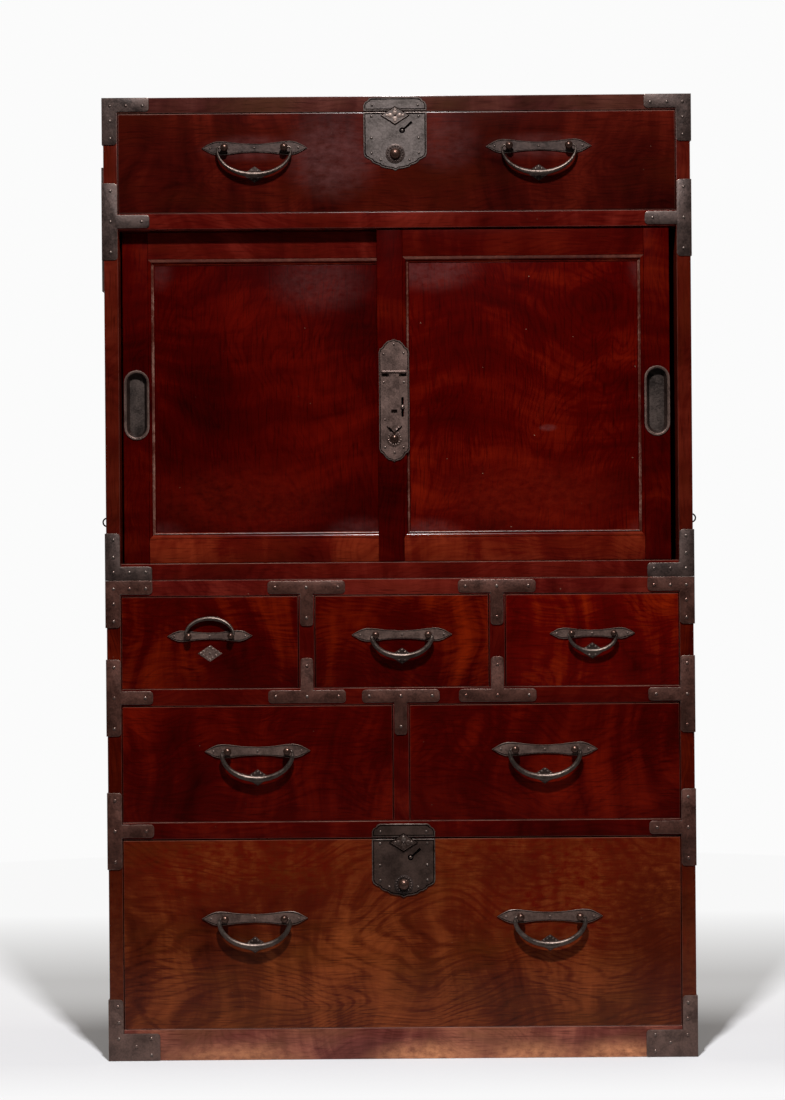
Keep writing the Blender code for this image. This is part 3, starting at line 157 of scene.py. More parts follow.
T_ARM_NAIL = 0.0590
BAR_NAIL_SPREAD = 0.0488
LEG_NAIL_DROP = 0.0474

# Ring eyes
RING_RADIUS = 0.0064
RING_WIRE_RADIUS = 0.0012
RING_STANDOFF = 0.0035
RING_RISE = 0.091
RING_SETBACK = 0.050

# Handles: post spacing, ball, grip and pin radius for each length of plate
PLATE_THICKNESS = 0.0018
HANDLE_KINDS = {
    "large": (0.092, 0.0062, 0.0042, 0.0018),
    "medium": (0.081, 0.0058, 0.0042, 0.0017),
    "small": (0.065, 0.0051, 0.0030, 0.0015),
}
PLATE_SHARES = [(1.0, 0.0), (0.92, 0.36), (0.81, 0.80), (0.69, 1.0), (0.52, 0.93), (0.27, 0.70), (0.0, 0.60)]
BAIL_TAPER_SHARE = 0.75
THICK_TAPER_SHARE = 0.11
THICK_INSET = 0.0022
BAIL_DEPTH_SHARE = 1.16
POST_NECK_SHARE = 0.55
DIAMOND_HALF_WIDTH = 0.0190
DIAMOND_HALF_HEIGHT = 0.0127
DIAMOND_THICKNESS = 0.0006
DIAMOND_NAIL_HEIGHT = 0.0008
DIAMOND_DROP_SHARE = 0.88

# Drawer locks
LOCK_WIDTH = 0.098
LOCK_HEIGHT = 0.0905
LOCK_SCALLOP_HEIGHT = 0.0265
SCALLOP_SHARES = [
    (1.0, 0.0), (0.96, 0.18), (0.86, 0.30), (0.77, 0.37), (0.72, 0.50), (0.61, 0.61),
    (0.50, 0.67), (0.44, 0.78), (0.28, 0.86), (0.11, 0.90), (0.0, 1.0),
]
STRIKE_CORNER_SHARES = [(1.0, 0.40), (0.955, 0.64), (0.86, 0.78), (0.84, 0.90), (0.76, 1.0)]
STRIKE_HEIGHT = 0.0205
STRIKE_EDGE_SPACE = 0.0010
BUTTON_RADIUS = 0.0085
BUTTON_DOME = 0.0075
BUTTON_SHANK = 0.0060
BUTTON_TRAVEL = 0.003
WASHER_RADIUS = 0.0150
KEYHOLE_X = 0.011
KEYHOLE_DROP = 0.0285
KEYHOLE_RADIUS = 0.0046
KEYHOLE_PIN_RADIUS = 0.0024
KEYHOLE_SLOT = 0.020
KEYHOLE_SLOT_WIDTH = 0.0030
LIP_MARGIN = 0.002
ROLLED_EDGE = 0.0009
KEYHOLE_DEPTH = 0.0011
KEYHOLE_ANGLE_DEG = 39.0
FLOWER_HALF_WIDTH = 0.0215
FLOWER_HALF_HEIGHT = 0.0138
FLOWER_DROP = 0.0055
FLOWER_RIM = 0.0011
FLOWER_THICKNESS = 0.0018
LOCK_NAILS = [(0.0365, 0.0065), (0.0365, 0.0400), (0.0365, 0.0635), (0.0223, 0.0740)]
STRIKE_NAIL = (0.0355, 0.0085)

# Door lock
DOOR_LOCK_END = 0.0195
DOOR_LOCK_END_SHARES = [
    (1.0, 0.0), (0.93, 0.22), (0.74, 0.38), (0.62, 0.60), (0.40, 0.84), (0.15, 0.91), (0.0, 1.0),
]
HASP_RISE = 0.044
HASP_WIDTH = 0.0155
HASP_THICKNESS = 0.0018
HASP_TIP = 0.0085
HASP_SLOT_WIDTH = 0.0092
HASP_SLOT_HEIGHT = 0.0052
HASP_SLOT_DROP = 0.061
HASP_RIDGE = 0.0004
HASP_BARREL_RADIUS = 0.0026
HASP_PIN_RADIUS = 0.0013
HINGE_SPAN = 0.036
HINGE_EAR_WIDTH = 0.0060
STUD_DROP = 0.0595
STUD_RADIUS = 0.0068
STUD_WASHER_RADIUS = 0.0120
STUD_HEIGHT = 0.0055
SHADE_HALF_WIDTH = 0.0118
SHADE_RISE = 0.0112
SHADE_THICKNESS = 0.0046
SHADE_DEPTH = 0.0011
SHADE_LIFT = 0.0092
# Near-black blocks painted as shadow under the hinge ears
HINGE_SHADOW_HALF_WIDTH = 0.0045
HINGE_SHADOW_DROP = 0.0062
SLIDER_OFFSET_X = 0.0130
SLIDER_DROP = 0.0105
SLIDER_SLOT_LENGTH = 0.031
SLIDER_SLOT_WIDTH = 0.0040
SLIDER_HEAD_RADIUS = 0.0035
SLIDER_HEAD_HEIGHT = 0.0028
SLIDER_FOOT_THICKNESS = 0.0016
SLIDER_FOOT_RADIUS = 0.0032
DOOR_LOCK_NAILS = [
    (0.0, 0.0868), (-0.0158, 0.0716), (0.0152, 0.0732), (-0.0160, 0.0280), (0.0154, 0.0280),
    (-0.0142, -0.0295), (-0.0145, -0.0726), (0.0142, -0.0730), (0.0, -0.0810),
]

# Finger pulls
PULL_RIM = 0.0030
PULL_WALL = 0.0010
PULL_DEPTH = 0.0095
PULL_DRAFT = 0.0045

SMOOTH_ANGLE_DEG = 32.0
FINE_SIDES = 24
NAIL_SIDES = 12

# Colours: dark, middle and light of each wood's figure, and two of each iron's patina
RAIL_TONES = ((0.019, 0.0005, 0.0002), (0.039, 0.0010, 0.0005), (0.085, 0.0050, 0.0018))
UPPER_RAIL_TONES = ((0.024, 0.0009, 0.0005), (0.054, 0.0025, 0.0015), (0.115, 0.010, 0.0058))
TOP_RAIL_TONES = ((0.018, 0.0040, 0.0030), (0.047, 0.0106, 0.0086), (0.095, 0.027, 0.021))
LOWER_TOP_TONES = ((0.026, 0.0010, 0.0007), (0.060, 0.0036, 0.0026), (0.130, 0.014, 0.0082))
UPPER_SIDE_TONES = ((0.020, 0.0010, 0.0004), (0.050, 0.0036, 0.0016), (0.092, 0.0100, 0.0046))
LOWER_SIDE_TONES = ((0.012, 0.0004, 0.0002), (0.029, 0.0014, 0.0003), (0.070, 0.0050, 0.0010))
DOOR_TONES = ((0.013, 0.0001, 0.0001), (0.036, 0.0003, 0.0001), (0.085, 0.0040, 0.0005))
DOOR_RAIL_TONES = ((0.028, 0.0007, 0.0004), (0.066, 0.0032, 0.0014), (0.160, 0.019, 0.0060))
LEFT_PANEL_TONES = ((0.008, 0.0001, 0.0001), (0.030, 0.0002, 0.0001), (0.092, 0.0026, 0.0005))
RIGHT_PANEL_TONES = ((0.012, 0.0001, 0.0001), (0.045, 0.0004, 0.0001), (0.145, 0.0066, 0.0011))
BASE_TONES = ((0.046, 0.0088, 0.0066), (0.115, 0.0285, 0.0215), (0.29, 0.094, 0.058))
# Painted reflection of the lit floor, laid low along the base rail
BASE_PAINTED_FLOOR_REFLECTION = (0.56, 0.225, 0.105)
LARGE_SHADE = (0.036, 0.0050, 0.0018)
TOP_TONES = ((0.012, 0.0008, 0.0005), (0.036, 0.0023, 0.0012), (0.088, 0.0075, 0.0034))
SMALL_TONES = ((0.012, 0.0002, 0.0001), (0.036, 0.0004, 0.0001), (0.128, 0.0080, 0.0007))
SMALL_RIGHT_TONES = ((0.020, 0.0003, 0.0001), (0.060, 0.0009, 0.0003), (0.190, 0.0130, 0.0011))
ROW_TWO_TONES = ((0.013, 0.0003, 0.0001), (0.034, 0.0005, 0.0002), (0.098, 0.0040, 0.0007))
LARGE_TONES = ((0.014, 0.0009, 0.0004), (0.066, 0.0092, 0.0025), (0.190, 0.041, 0.0098))
DRAWER_TONES = {
    "drawer_top": TOP_TONES,
    "drawer_small_left": SMALL_TONES,
    "drawer_small_middle": SMALL_TONES,
    "drawer_small_right": SMALL_RIGHT_TONES,
    "drawer_row_two_left": ROW_TWO_TONES,
    "drawer_row_two_right": ROW_TWO_TONES,
    "drawer_large": LARGE_TONES,
}
DRAWER_SEEDS = {"drawer_small_right": 21.0}
FIGURE = (0.80, 0.75, 0.05, 0.30, 260.0)
SOFTWOOD_FIGURE = (0.80, 0.50, 0.26)
TRAY_BOARD_WIDTH = 0.155
BACK_BOARDS = 4
PANEL_SPECKS = {"door_left": 0.7, "door_right": 2.2}
PANEL_FIGURE = (0.66, 0.58, 0.045, 0.20, 330.0)
LARGE_FIGURE = (0.62, 0.62, 0.090, 0.32, 170.0)
# Painted sheen: a greyish tone laid on spots where the lamp's reflection shows in the lacquer
PAINTED_SHEEN_TONE = (0.118, 0.042, 0.040)
SPECK_TONE = (0.20, 0.120, 0.085)
# Rubbed arrises: wear, lighter on upward faces as a painted highlight
ARRIS_WEAR_AND_HIGHLIGHT_TONE = (0.30, 0.150, 0.115)
LOWER_ARRIS_WEAR_AND_HIGHLIGHT_TONE = (0.150, 0.050, 0.030)
# Tones of the door beads: rubbed wear, whose light end is a painted highlight where the lamp catches the bead
TOP_BEAD_TONES = ((0.38, (0.036, 0.004, 0.002)), (0.50, (0.060, 0.0105, 0.005)), (0.63, (0.100, 0.026, 0.015)))
BEAD_TONES = ((0.38, (0.040, 0.005, 0.002)), (0.50, (0.076, 0.020, 0.013)), (0.63, (0.180, 0.090, 0.068)))
COAT_WEIGHT = 0.28
COAT_ROUGHNESS = 0.165
LARGE_RED = (0.066, 0.0030, 0.0008)
# A lighter red laid over the lower part of each door panel
PANEL_LOWER_TONE = (0.120, 0.0060, 0.0018)
# Spots laid on some boards: tones of the wood, and painted sheens and reflections
TONE_AND_SHEEN_SPOTS = {
    "drawer_top": [(PAINTED_SHEEN_TONE, [
        (-0.100, 1.40, 0.090, 0.085, 0.50), (0.075, 1.42, 0.07, 0.06, 0.26),
        (-0.22, 1.412, 0.100, 0.026, 0.38), (0.22, 1.412, 0.100, 0.026, 0.30),
    ])],
    "door_right": [(PAINTED_SHEEN_TONE, [
        (0.050, 1.225, 0.095, 0.045, 0.38), (0.385, 1.225, 0.035, 0.050, 0.30),
        (0.045, 0.808, 0.070, 0.035, 0.42), (0.385, 0.810, 0.040, 0.035, 0.22),
        (0.232, 0.976, 0.017, 0.007, 0.42),
    ]), (PANEL_LOWER_TONE, [(0.20, 0.870, 0.200, 0.080, 0.60)])],
    "door_left": [(PAINTED_SHEEN_TONE, [
        (-0.12, 1.205, 0.10, 0.06, 0.22), (-0.38, 1.225, 0.04, 0.04, 0.20),
        (-0.37, 0.812, 0.05, 0.03, 0.20), (-0.06, 0.812, 0.07, 0.035, 0.30),
    ]), (PANEL_LOWER_TONE, [(-0.24, 0.865, 0.200, 0.080, 0.45)])],
    "drawer_large": [
        (LARGE_RED, [
            (0.28, 0.28, 0.340, 0.180, 1.00), (0.20, 0.31, 0.260, 0.120, 0.90),
            (-0.24, 0.30, 0.320, 0.130, 0.95), (0.42, 0.18, 0.120, 0.140, 0.60),
        ]),
        (LARGE_SHADE, [
            (0.40, 0.20, 0.120, 0.170, 0.75), (-0.43, 0.20, 0.070, 0.150, 0.40), (0.16, 0.29, 0.100, 0.050, 0.30),
            (-0.22, 0.24, 0.160, 0.060, 0.35), (0.16, 0.105, 0.140, 0.040, 0.40), (-0.30, 0.10, 0.120, 0.030, 0.30),
        ]),
    ],
    "lower_sides": [((0.078, 0.015, 0.0048), [(-0.456, 0.06, 0.060, 0.330, 1.0), (0.456, 0.06, 0.060, 0.330, 1.0)])],
    # Painted floor reflection along the base rail
    "lower_bottom": [(BASE_PAINTED_FLOOR_REFLECTION, [
        (-0.26, -0.004, 0.150, 0.040, 0.62), (0.04, -0.004, 0.120, 0.040, 0.92),
        (0.20, -0.006, 0.110, 0.040, 0.80), (0.34, -0.004, 0.110, 0.040, 0.95),
    ])],
}
IRON_TONES = {
    "upper": ((0.028, 0.0170, 0.0145), (0.072, 0.0430, 0.0360)),
    "base": ((0.066, 0.0380, 0.0310), (0.140, 0.0800, 0.0650)),
    "t": ((0.042, 0.0145, 0.0095), (0.100, 0.0360, 0.0245)),
    "door": ((0.066, 0.0390, 0.0320), (0.146, 0.0880, 0.0730)),
    "handle": ((0.072, 0.0430, 0.0350), (0.160, 0.0990, 0.0810)),
    "top_lock": ((0.060, 0.046, 0.041), (0.118, 0.093, 0.086)),
    "large_lock": ((0.030, 0.0165, 0.0125), (0.060, 0.0330, 0.0250)),
}
# Near black painted as shade: in the sunk lines of plates, round the flower, under the hasp's tip, behind its slot and
# under the hinge ears
PAINTED_SHADE_TONES = ((0.003, 0.0018, 0.0015), (0.010, 0.006, 0.005))
WASHER_TONES = ((0.020, 0.012, 0.010), (0.060, 0.038, 0.032))
FLOWER_TONES = ((0.120, 0.082, 0.068), (0.28, 0.205, 0.175))
POST_TONES = ((0.052, 0.027, 0.020), (0.120, 0.064, 0.048))
BAIL_TONES = ((0.058, 0.040, 0.033), (0.135, 0.100, 0.085))
WALL_TONES = ((0.008, 0.0040, 0.0032), (0.030, 0.0165, 0.0130))
CUP_TONES = ((0.020, 0.013, 0.011), (0.065, 0.045, 0.038))
# Bands of a plate: the bevel and lip take the lighter nail iron, a painted highlight, and a sunk line takes the
# near-black iron, painted shade
LIP_BANDS = [0, 1, 1, 4, 4, 4]
IRON_BANDS = [0, 1, 1]
NAIL_LIGHT = (0.150, 0.115, 0.100)

# Studio
FLOOR_HALF = 30.0
FRONT_GLOSS = 0.006
FILL_LIGHT = 0.020
FILL_WARMTH = (1.10, 0.95, 0.80)
BACK_LIGHT = 0.42
BACKDROP_WHITE = 0.965
NEAR_FADE = (-0.20, 0.45, 0.0, 0.47)
FAR_FADE = (0.55, 1.40, 0.0, 0.50)
ROUND_FADE = (1.2, 2.6)
FRONT_FADE = 0.85
LAMP_PLACE = (0.0, -1.60, 2.60)
LAMP_SIZE = 0.13
LAMP_POWER = 73.0
LAMP_EVENNESS = 0.21
LAMP_AIM_SHARE = 0.6


# Nodes of the materials

def add_node(tree, kind, inputs=None, **settings):
    """Add a node; an input is a value, or the output of another node that is linked to it."""
    made = tree.nodes.new(kind)
    for name, value in settings.items():
        setattr(made, name, value)
    for name, value in (inputs or {}).items():
        if isinstance(value, bpy.types.NodeSocket):
            tree.links.new(value, made.inputs[name])
        else:
            made.inputs[name].default_value = value
    return made


def maths(tree, operation, *values, clamp=False):
    """Return the output of a math node."""
    inputs = dict(enumerate(values))
    return add_node(tree, "ShaderNodeMath", inputs, operation=operation, use_clamp=clamp).outputs[0]


def noise(tree, vector, scale, detail=2.0, roughness=0.5, distortion=0.0):
    """Return the value of a noise texture."""
    inputs = {"Vector": vector, "Scale": scale, "Detail": detail, "Roughness": roughness, "Distortion": distortion}
    return add_node(tree, "ShaderNodeTexNoise", inputs).outputs["Fac"]


def mapped(tree, vector, location=(0, 0, 0), rotation=(0, 0, 0), scale=(1, 1, 1)):
    """Return a vector moved, turned and scaled."""
    inputs = {"Vector": vector, "Location": location, "Rotation": rotation, "Scale": scale}
    return add_node(tree, "ShaderNodeMapping", inputs).outputs[0]


def stretched(tree, value, low, high, low_to=0.0, high_to=1.0):
    """Return a value stretched from one range to another, and kept inside it."""
    inputs = {"Value": value, "From Min": low, "From Max": high, "To Min": low_to, "To Max": high_to}
    return add_node(tree, "ShaderNodeMapRange", inputs).outputs[0]


def mixed(tree, share, first, second):
    """Return a colour mixed from two by a share."""
    made = add_node(tree, "ShaderNodeMix", data_type="RGBA")
    for socket, value in ((made.inputs[0], share), (made.inputs[6], first), (made.inputs[7], second)):
        if isinstance(value, bpy.types.NodeSocket):
            tree.links.new(value, socket)
        else:
            socket.default_value = value if isinstance(value, (int, float)) else (*value, 1.0)
    return made.outputs[2]


def ramp(tree, value, stops):
    """Return a colour from stops of a place and a colour."""
    made = add_node(tree, "ShaderNodeValToRGB", {"Fac": value})
    elements = made.color_ramp.elements
    while len(elements) < len(stops):
        elements.new(0.5)
    for element, (place, colour) in zip(elements, stops):
        element.position = place
        element.color = (*colour, 1.0)
    return made.outputs["Color"]


def new_material(name):
    """Return a material, its tree, its shader and the object coordinates."""
    made = bpy.data.materials.new(name)
    made.use_nodes = True
    tree = made.node_tree
    shader = tree.nodes["Principled BSDF"]
    coordinates = add_node(tree, "ShaderNodeTexCoord").outputs["Object"]
    return made, tree, shader, coordinates


def add_bump(tree, shader, height, distance, strength=1.0):
    """Link a height to the shader's normal."""
    inputs = {"Height": height, "Distance": distance, "Strength": strength}
    bump = add_node(tree, "ShaderNodeBump", inputs)
    tree.links.new(bump.outputs[0], shader.inputs["Normal"])


GRAIN_TURNS = {"x": (0, 0, 0), "y": (0, 0, math.pi / 2), "z": (0, math.pi / 2, 0)}


def grain_value(tree, place, cloud, flame, rings, fibre, turns=150.0):
    """Return the value of the wood's figure, with the grain along X of the place."""
    warp = add_node(tree, "ShaderNodeTexNoise", {"Vector": place, "Scale": 3.4, "Detail": 2.0}).outputs["Color"]
    centred = add_node(tree, "ShaderNodeVectorMath", {0: warp, 1: (0.5, 0.5, 0.5)}, operation="SUBTRACT").outputs[0]
    pushed = add_node(tree, "ShaderNodeVectorMath", {0: centred, "Scale": 0.22}, operation="SCALE").outputs[0]
    bent = add_node(tree, "ShaderNodeVectorMath", {0: place, 1: pushed}, operation="ADD").outputs[0]
    hills = noise(tree, mapped(tree, bent, scale=(1.0, 3.0, 4.2)), 1.9, 1.5, 0.42)
    lines = maths(tree, "SINE", maths(tree, "MULTIPLY", hills, turns))
    contour = stretched(tree, lines, -1.0, -0.2)
    streaks = noise(tree, mapped(tree, bent, scale=(9.0, 90.0, 260.0)), 1.0, 4.0, 0.65)
    flames = noise(tree, mapped(tree, bent, scale=(24.0, 12.0, 3.4)), 1.0, 4.5, 0.62)
    clouds = noise(tree, place, 5.5, 2.5, 0.5)
    total = 0.5
    for value, weight in ((clouds, cloud), (flames, flame), (contour, rings), (streaks, fibre)):
        part = maths(tree, "MULTIPLY", maths(tree, "SUBTRACT", value, 0.5), weight)
        total = maths(tree, "ADD", total, part)
    return total, streaks


def halo(tree, coordinates, spots):
    """Return the share of a tone or a painted sheen round spots of x, z, half width, half height and share."""
    total = 0.0
    for x, z, half_width, half_height, share in spots:
        scale = (1 / half_width, 0.0, 1 / half_height)
        near = mapped(tree, coordinates, (-x / half_width, 0.0, -z / half_height), scale=scale)
        away = add_node(tree, "ShaderNodeVectorMath", {0: near}, operation="LENGTH").outputs["Value"]
        made = add_node(tree, "ShaderNodeMapRange", {"Value": away, 1: 1.0, 2: 0.25, 3: 0.0, 4: share})
        made.interpolation_type = "SMOOTHSTEP"
        total = maths(tree, "MAXIMUM", total, made.outputs[0])
    cloudy = noise(tree, mapped(tree, coordinates, scale=(70.0, 70.0, 110.0)), 1.0, 5.0, 0.7)
    return maths(tree, "MULTIPLY", total, stretched(tree, cloudy, 0.32, 0.66, 0.25, 1.0))


def lacquered(name, grain, seed, tones, figure=FIGURE, tones_and_sheens=(), specks=0.4, arris=ARRIS_WEAR_AND_HIGHLIGHT_TONE):
    """Return a lacquered wood and its arris copy with wear and a painted highlight, for a grain along one axis.

    The tones are the dark, middle and light colours of the figure; the figure is the weight
    of its clouds, flames, rings and fibres; each spot entry is a tone, or a painted sheen or
    reflection, and the spots that it covers.
    """
    pair = []
    for rubbed_and_lit in (False, True):
        made, tree, shader, coordinates = new_material(f"{name}_arris" if rubbed_and_lit else name)
        place = mapped(tree, coordinates, (seed * 1.7, seed * 0.9, seed * 2.3), GRAIN_TURNS[grain])
        value, streaks = grain_value(tree, place, *figure)
        colour = ramp(tree, value, [(0.26, tones[0]), (0.50, tones[1]), (0.78, tones[2])])
        brown = tuple(tones[1][i] * share for i, share in enumerate((1.15, 1.9, 1.1)))
        patches = noise(tree, mapped(tree, place, (3.1, 0.0, 0.0), scale=(1.0, 2.0, 2.6)), 6.0, 3.0, 0.6)
        colour = mixed(tree, stretched(tree, patches, 0.46, 0.72, 0.0, 0.6), colour, brown)
        pores = noise(tree, mapped(tree, place, scale=(28.0, 300.0, 620.0)), 1.0, 1.0)
        colour = mixed(tree, stretched(tree, pores, 0.56, 0.72, 0.0, 0.55), colour, tones[0])
        # Lay the tones and the painted sheens and reflections on their spots
        for tone, spots in tones_and_sheens:
            colour = mixed(tree, halo(tree, coordinates, spots), colour, tone)
        cells = add_node(tree, "ShaderNodeTexVoronoi", {"Vector": place, "Scale": 85.0})
        chance = add_node(tree, "ShaderNodeSeparateColor", {"Color": cells.outputs["Color"]}).outputs[0]
        near = stretched(tree, cells.outputs["Distance"], 0.066, 0.024)
        rare = 0.985 - 0.05 * specks
        speck = maths(tree, "MULTIPLY", near, stretched(tree, chance, rare, rare + 0.004))
        colour = mixed(tree, maths(tree, "MULTIPLY", speck, specks), colour, SPECK_TONE)
        # On the arris copy, wear is lighter where the normal points up: a painted highlight of the lamp above
        if rubbed_and_lit:
            bare = noise(tree, mapped(tree, place, scale=(9.0, 9.0, 9.0)), 1.0, 4.0, 0.7)
            normal = add_node(tree, "ShaderNodeNewGeometry").outputs["Normal"]
            up = add_node(tree, "ShaderNodeSeparateXYZ", {0: normal}).outputs["Z"]
            worn_and_lit = maths(tree, "MULTIPLY", stretched(tree, bare, 0.36, 0.62, 0.35, 1.0),
                         stretched(tree, up, 0.05, 0.55, 0.07, 1.0))
            colour = mixed(tree, worn_and_lit, colour, arris)
        tree.links.new(colour, shader.inputs["Base Color"])
        shader.inputs["Coat Roughness"].default_value = COAT_ROUGHNESS
        rough = (0.25, 0.38) if rubbed_and_lit else (0.42, 0.55)
        tree.links.new(stretched(tree, streaks, 0.3, 0.7, *rough), shader.inputs["Roughness"])
        shader.inputs["Specular IOR Level"].default_value = 0.25 if rubbed_and_lit else 0.0
        shader.inputs["Coat Weight"].default_value = 0.35 if rubbed_and_lit else COAT_WEIGHT
        waves = noise(tree, coordinates, 16.0, 2.0)
        height = maths(tree, "ADD", maths(tree, "MULTIPLY", streaks, 0.10), waves)
        add_bump(tree, shader, height, 0.0012, 0.35)
        pair.append(made)
    return pair


def worn_and_lit_bead(name, tones):
    """Return the lacquer of a bead: a greyish brown of wear and painted highlight, with dark red where it has held."""
    made, tree, shader, coordinates = new_material(name)
    wear = noise(tree, mapped(tree, coordinates, scale=(14.0, 14.0, 14.0)), 1.0, 5.0, 0.7)
    fine = noise(tree, coordinates, 240.0, 2.0)
    value = maths(tree, "ADD", maths(tree, "MULTIPLY", wear, 0.7), maths(tree, "MULTIPLY", fine, 0.3))
    tree.links.new(ramp(tree, value, tones), shader.inputs["Base Color"])
    shader.inputs["Roughness"].default_value = 0.34
    shader.inputs["Specular IOR Level"].default_value = 0.5
    add_bump(tree, shader, fine, 0.0003, 0.5)
    return made


def plain_wood(name, grain, seed, board_width):
    """Return a plain softwood with a straight grain, whose tone changes from board to board."""
    made, tree, shader, coordinates = new_material(name)
    place = mapped(tree, coordinates, (seed * 1.3, seed * 0.7, seed * 1.9), GRAIN_TURNS[grain])
    bands = noise(tree, mapped(tree, place, scale=(0.7, 16.0, 42.0)), 1.0, 3.0, 0.55)
    streaks = noise(tree, mapped(tree, place, scale=(3.0, 130.0, 330.0)), 1.0, 3.0, 0.6)
    apart = add_node(tree, "ShaderNodeSeparateXYZ", {0: coordinates})
    board = maths(tree, "FLOOR", maths(tree, "DIVIDE", apart.outputs["X"], board_width))
    section = maths(tree, "GREATER_THAN", apart.outputs["Z"], LOWER_HEIGHT)
    board = maths(tree, "ADD", board, maths(tree, "MULTIPLY", section, 7.0))
    tone = add_node(tree, "ShaderNodeTexWhiteNoise", {"W": board}, noise_dimensions="1D").outputs["Value"]
    total = 0.5
    for value, weight in zip((bands, streaks, tone), SOFTWOOD_FIGURE):
        part = maths(tree, "MULTIPLY", maths(tree, "SUBTRACT", value, 0.5), weight)
        total = maths(tree, "ADD", total, part)
    stops = [(0.25, (0.13, 0.075, 0.040)), (0.5, (0.23, 0.140, 0.078)), (0.78, (0.33, 0.215, 0.130))]
    tree.links.new(ramp(tree, total, stops), shader.inputs["Base Color"])
    tree.links.new(stretched(tree, streaks, 0.2, 0.8, 0.60, 0.78), shader.inputs["Roughness"])
    add_bump(tree, shader, streaks, 0.0004, 0.6)
    return [made, made]


def forged(name, first, second, metallic=0.55, low=0.36, high=0.58, seed=0.0, hammer=0.00035):
    """Return a forged iron with a mottled patina of two colours."""
    made, tree, shader, coordinates = new_material(name)
    place = mapped(tree, coordinates, (seed, seed * 0.6, seed * 1.4))
    patches = noise(tree, place, 38.0, 4.0, 0.62)
    fine = noise(tree, place, 420.0, 3.0, 0.6)
    value = maths(tree, "ADD", maths(tree, "MULTIPLY", patches, 0.6), maths(tree, "MULTIPLY", fine, 0.4))
    tree.links.new(mixed(tree, stretched(tree, value, 0.39, 0.61), first, second), shader.inputs["Base Color"])
    tree.links.new(stretched(tree, value, 0.35, 0.65, low, high), shader.inputs["Roughness"])
    shader.inputs["Metallic"].default_value = metallic
    shader.inputs["Specular IOR Level"].default_value = min(0.5, metallic)
    dents = noise(tree, place, 170.0, 2.0, 0.5)
    add_bump(tree, shader, maths(tree, "ADD", dents, maths(tree, "MULTIPLY", fine, 0.3)), hammer, 0.8)
    return made


def hole_black():
    """Return the near black painted as shade in the openings of the locks and the pulls, with a little mottle."""
    made, tree, shader, coordinates = new_material("lock_shadow")
    shade_mottle = noise(tree, coordinates, 300.0, 2.0)
    tree.links.new(mixed(tree, shade_mottle, (0.0005, 0.0005, 0.0005), (0.003, 0.002, 0.002)), shader.inputs["Base Color"])
    shader.inputs["Specular IOR Level"].default_value = 0.0
    shader.inputs["Roughness"].default_value = 0.8
    return made


# Forms, added to a mesh that is being built

def on_front(across, depth, up):
    """Return a point of a plate that faces the front."""
    return across, depth, up


def on_side(across, depth, up):
    """Return a point of a plate that faces a side."""
    return depth, across, up


def add_rings(builder, rings, material=0, closed=False):
    """Add a solid through rings of points, capped unless it closes on itself.

    The material is one index, or a list of an index for each band between two rings.
    """
    rows = [[builder.verts.new(point) for point in ring] for ring in rings]
    pairs = list(zip(rows, rows[1:]))
    if closed:
        pairs.append((rows[-1], rows[0]))
    bands, cap = (material, 0) if isinstance(material, list) else ([material] * len(pairs), material)
    for (lower, upper), band in zip(pairs, bands):
        for index in range(len(lower)):
            after = (index + 1) % len(lower)
            builder.faces.new((lower[index], lower[after], upper[after], upper[index])).material_index = band
    if not closed:
        for row in (rows[0], rows[-1]):
            builder.faces.new(row).material_index = cap


def add_turned(builder, centre, axis, profile, sides=FINE_SIDES, material=0, closed=False):
    """Add a solid of revolution from pairs of reach along the axis and radius."""
    centre, axis = Vector(centre), Vector(axis)
    first = axis.orthogonal().normalized()
    second = axis.cross(first)
    rings = []
    for reach, radius in profile:
        ring = []
        for step in range(sides):
            turn = 2 * math.pi * step / sides
            ring.append(centre + axis * reach + (first * math.cos(turn) + second * math.sin(turn)) * radius)
        rings.append(ring)
    add_rings(builder, rings, material, closed)


def dome(base, height, radius, rings=5):
    """Return reach and radius pairs of a dome."""
    pairs = []
    for step in range(rings + 1):
        angle = math.pi / 2 * step / (rings + 0.4)
        pairs.append((base + height * math.sin(angle), radius * math.cos(angle)))
    return pairs


def add_nail(builder, place, axis, radius=NAIL_RADIUS, height=NAIL_HEIGHT, material=1):
    """Add a domed nail head that stands on a surface."""
    add_turned(builder, place, axis, [(-height / 2, radius)] + dome(0.0, height, radius, 3), NAIL_SIDES, material)


def inset(outline, distance):
    """Return an outline drawn in by the same distance along all its edges."""
    count = len(outline)
    area = sum(outline[i - 1][0] * outline[i][1] - outline[i][0] * outline[i - 1][1] for i in range(count))
    turn = 1 if area > 0 else -1
    points = []
    for index in range(count):
        before, here, after = (Vector(outline[(index + step) % count]) for step in (-1, 0, 1))
        normals = []
        for edge in (here - before, after - here):
            edge.normalize()
            normals.append(Vector((-edge.y, edge.x)) * turn)
        middle = normals[0] + normals[1]
        half = max(middle.length / 2, 0.4)
        points.append(tuple(here + middle.normalized() * distance / half))
    return points


def rounded(corners, steps=4):
    """Return an outline from corners of a place and a radius, with arcs at the corners."""
    points = []
    count = len(corners)
    for index, (x, z, radius) in enumerate(corners):
        here = Vector((x, z))
        if radius <= 0:
            points.append((x, z))
            continue
        back = (Vector(corners[index - 1][:2]) - here).normalized()
        ahead = (Vector(corners[(index + 1) % count][:2]) - here).normalized()
        half = back.angle(ahead) / 2
        centre = here + (back + ahead).normalized() * radius / math.sin(half)
        start = here + back * radius / math.tan(half) - centre
        end = here + ahead * radius / math.tan(half) - centre
        sweep = start.angle(end)
        for step in range(steps + 1):
            share = step / steps
            arm = start * math.sin((1 - share) * sweep) + end * math.sin(share * sweep)
            points.append(tuple(centre + arm / math.sin(sweep)))
    return points


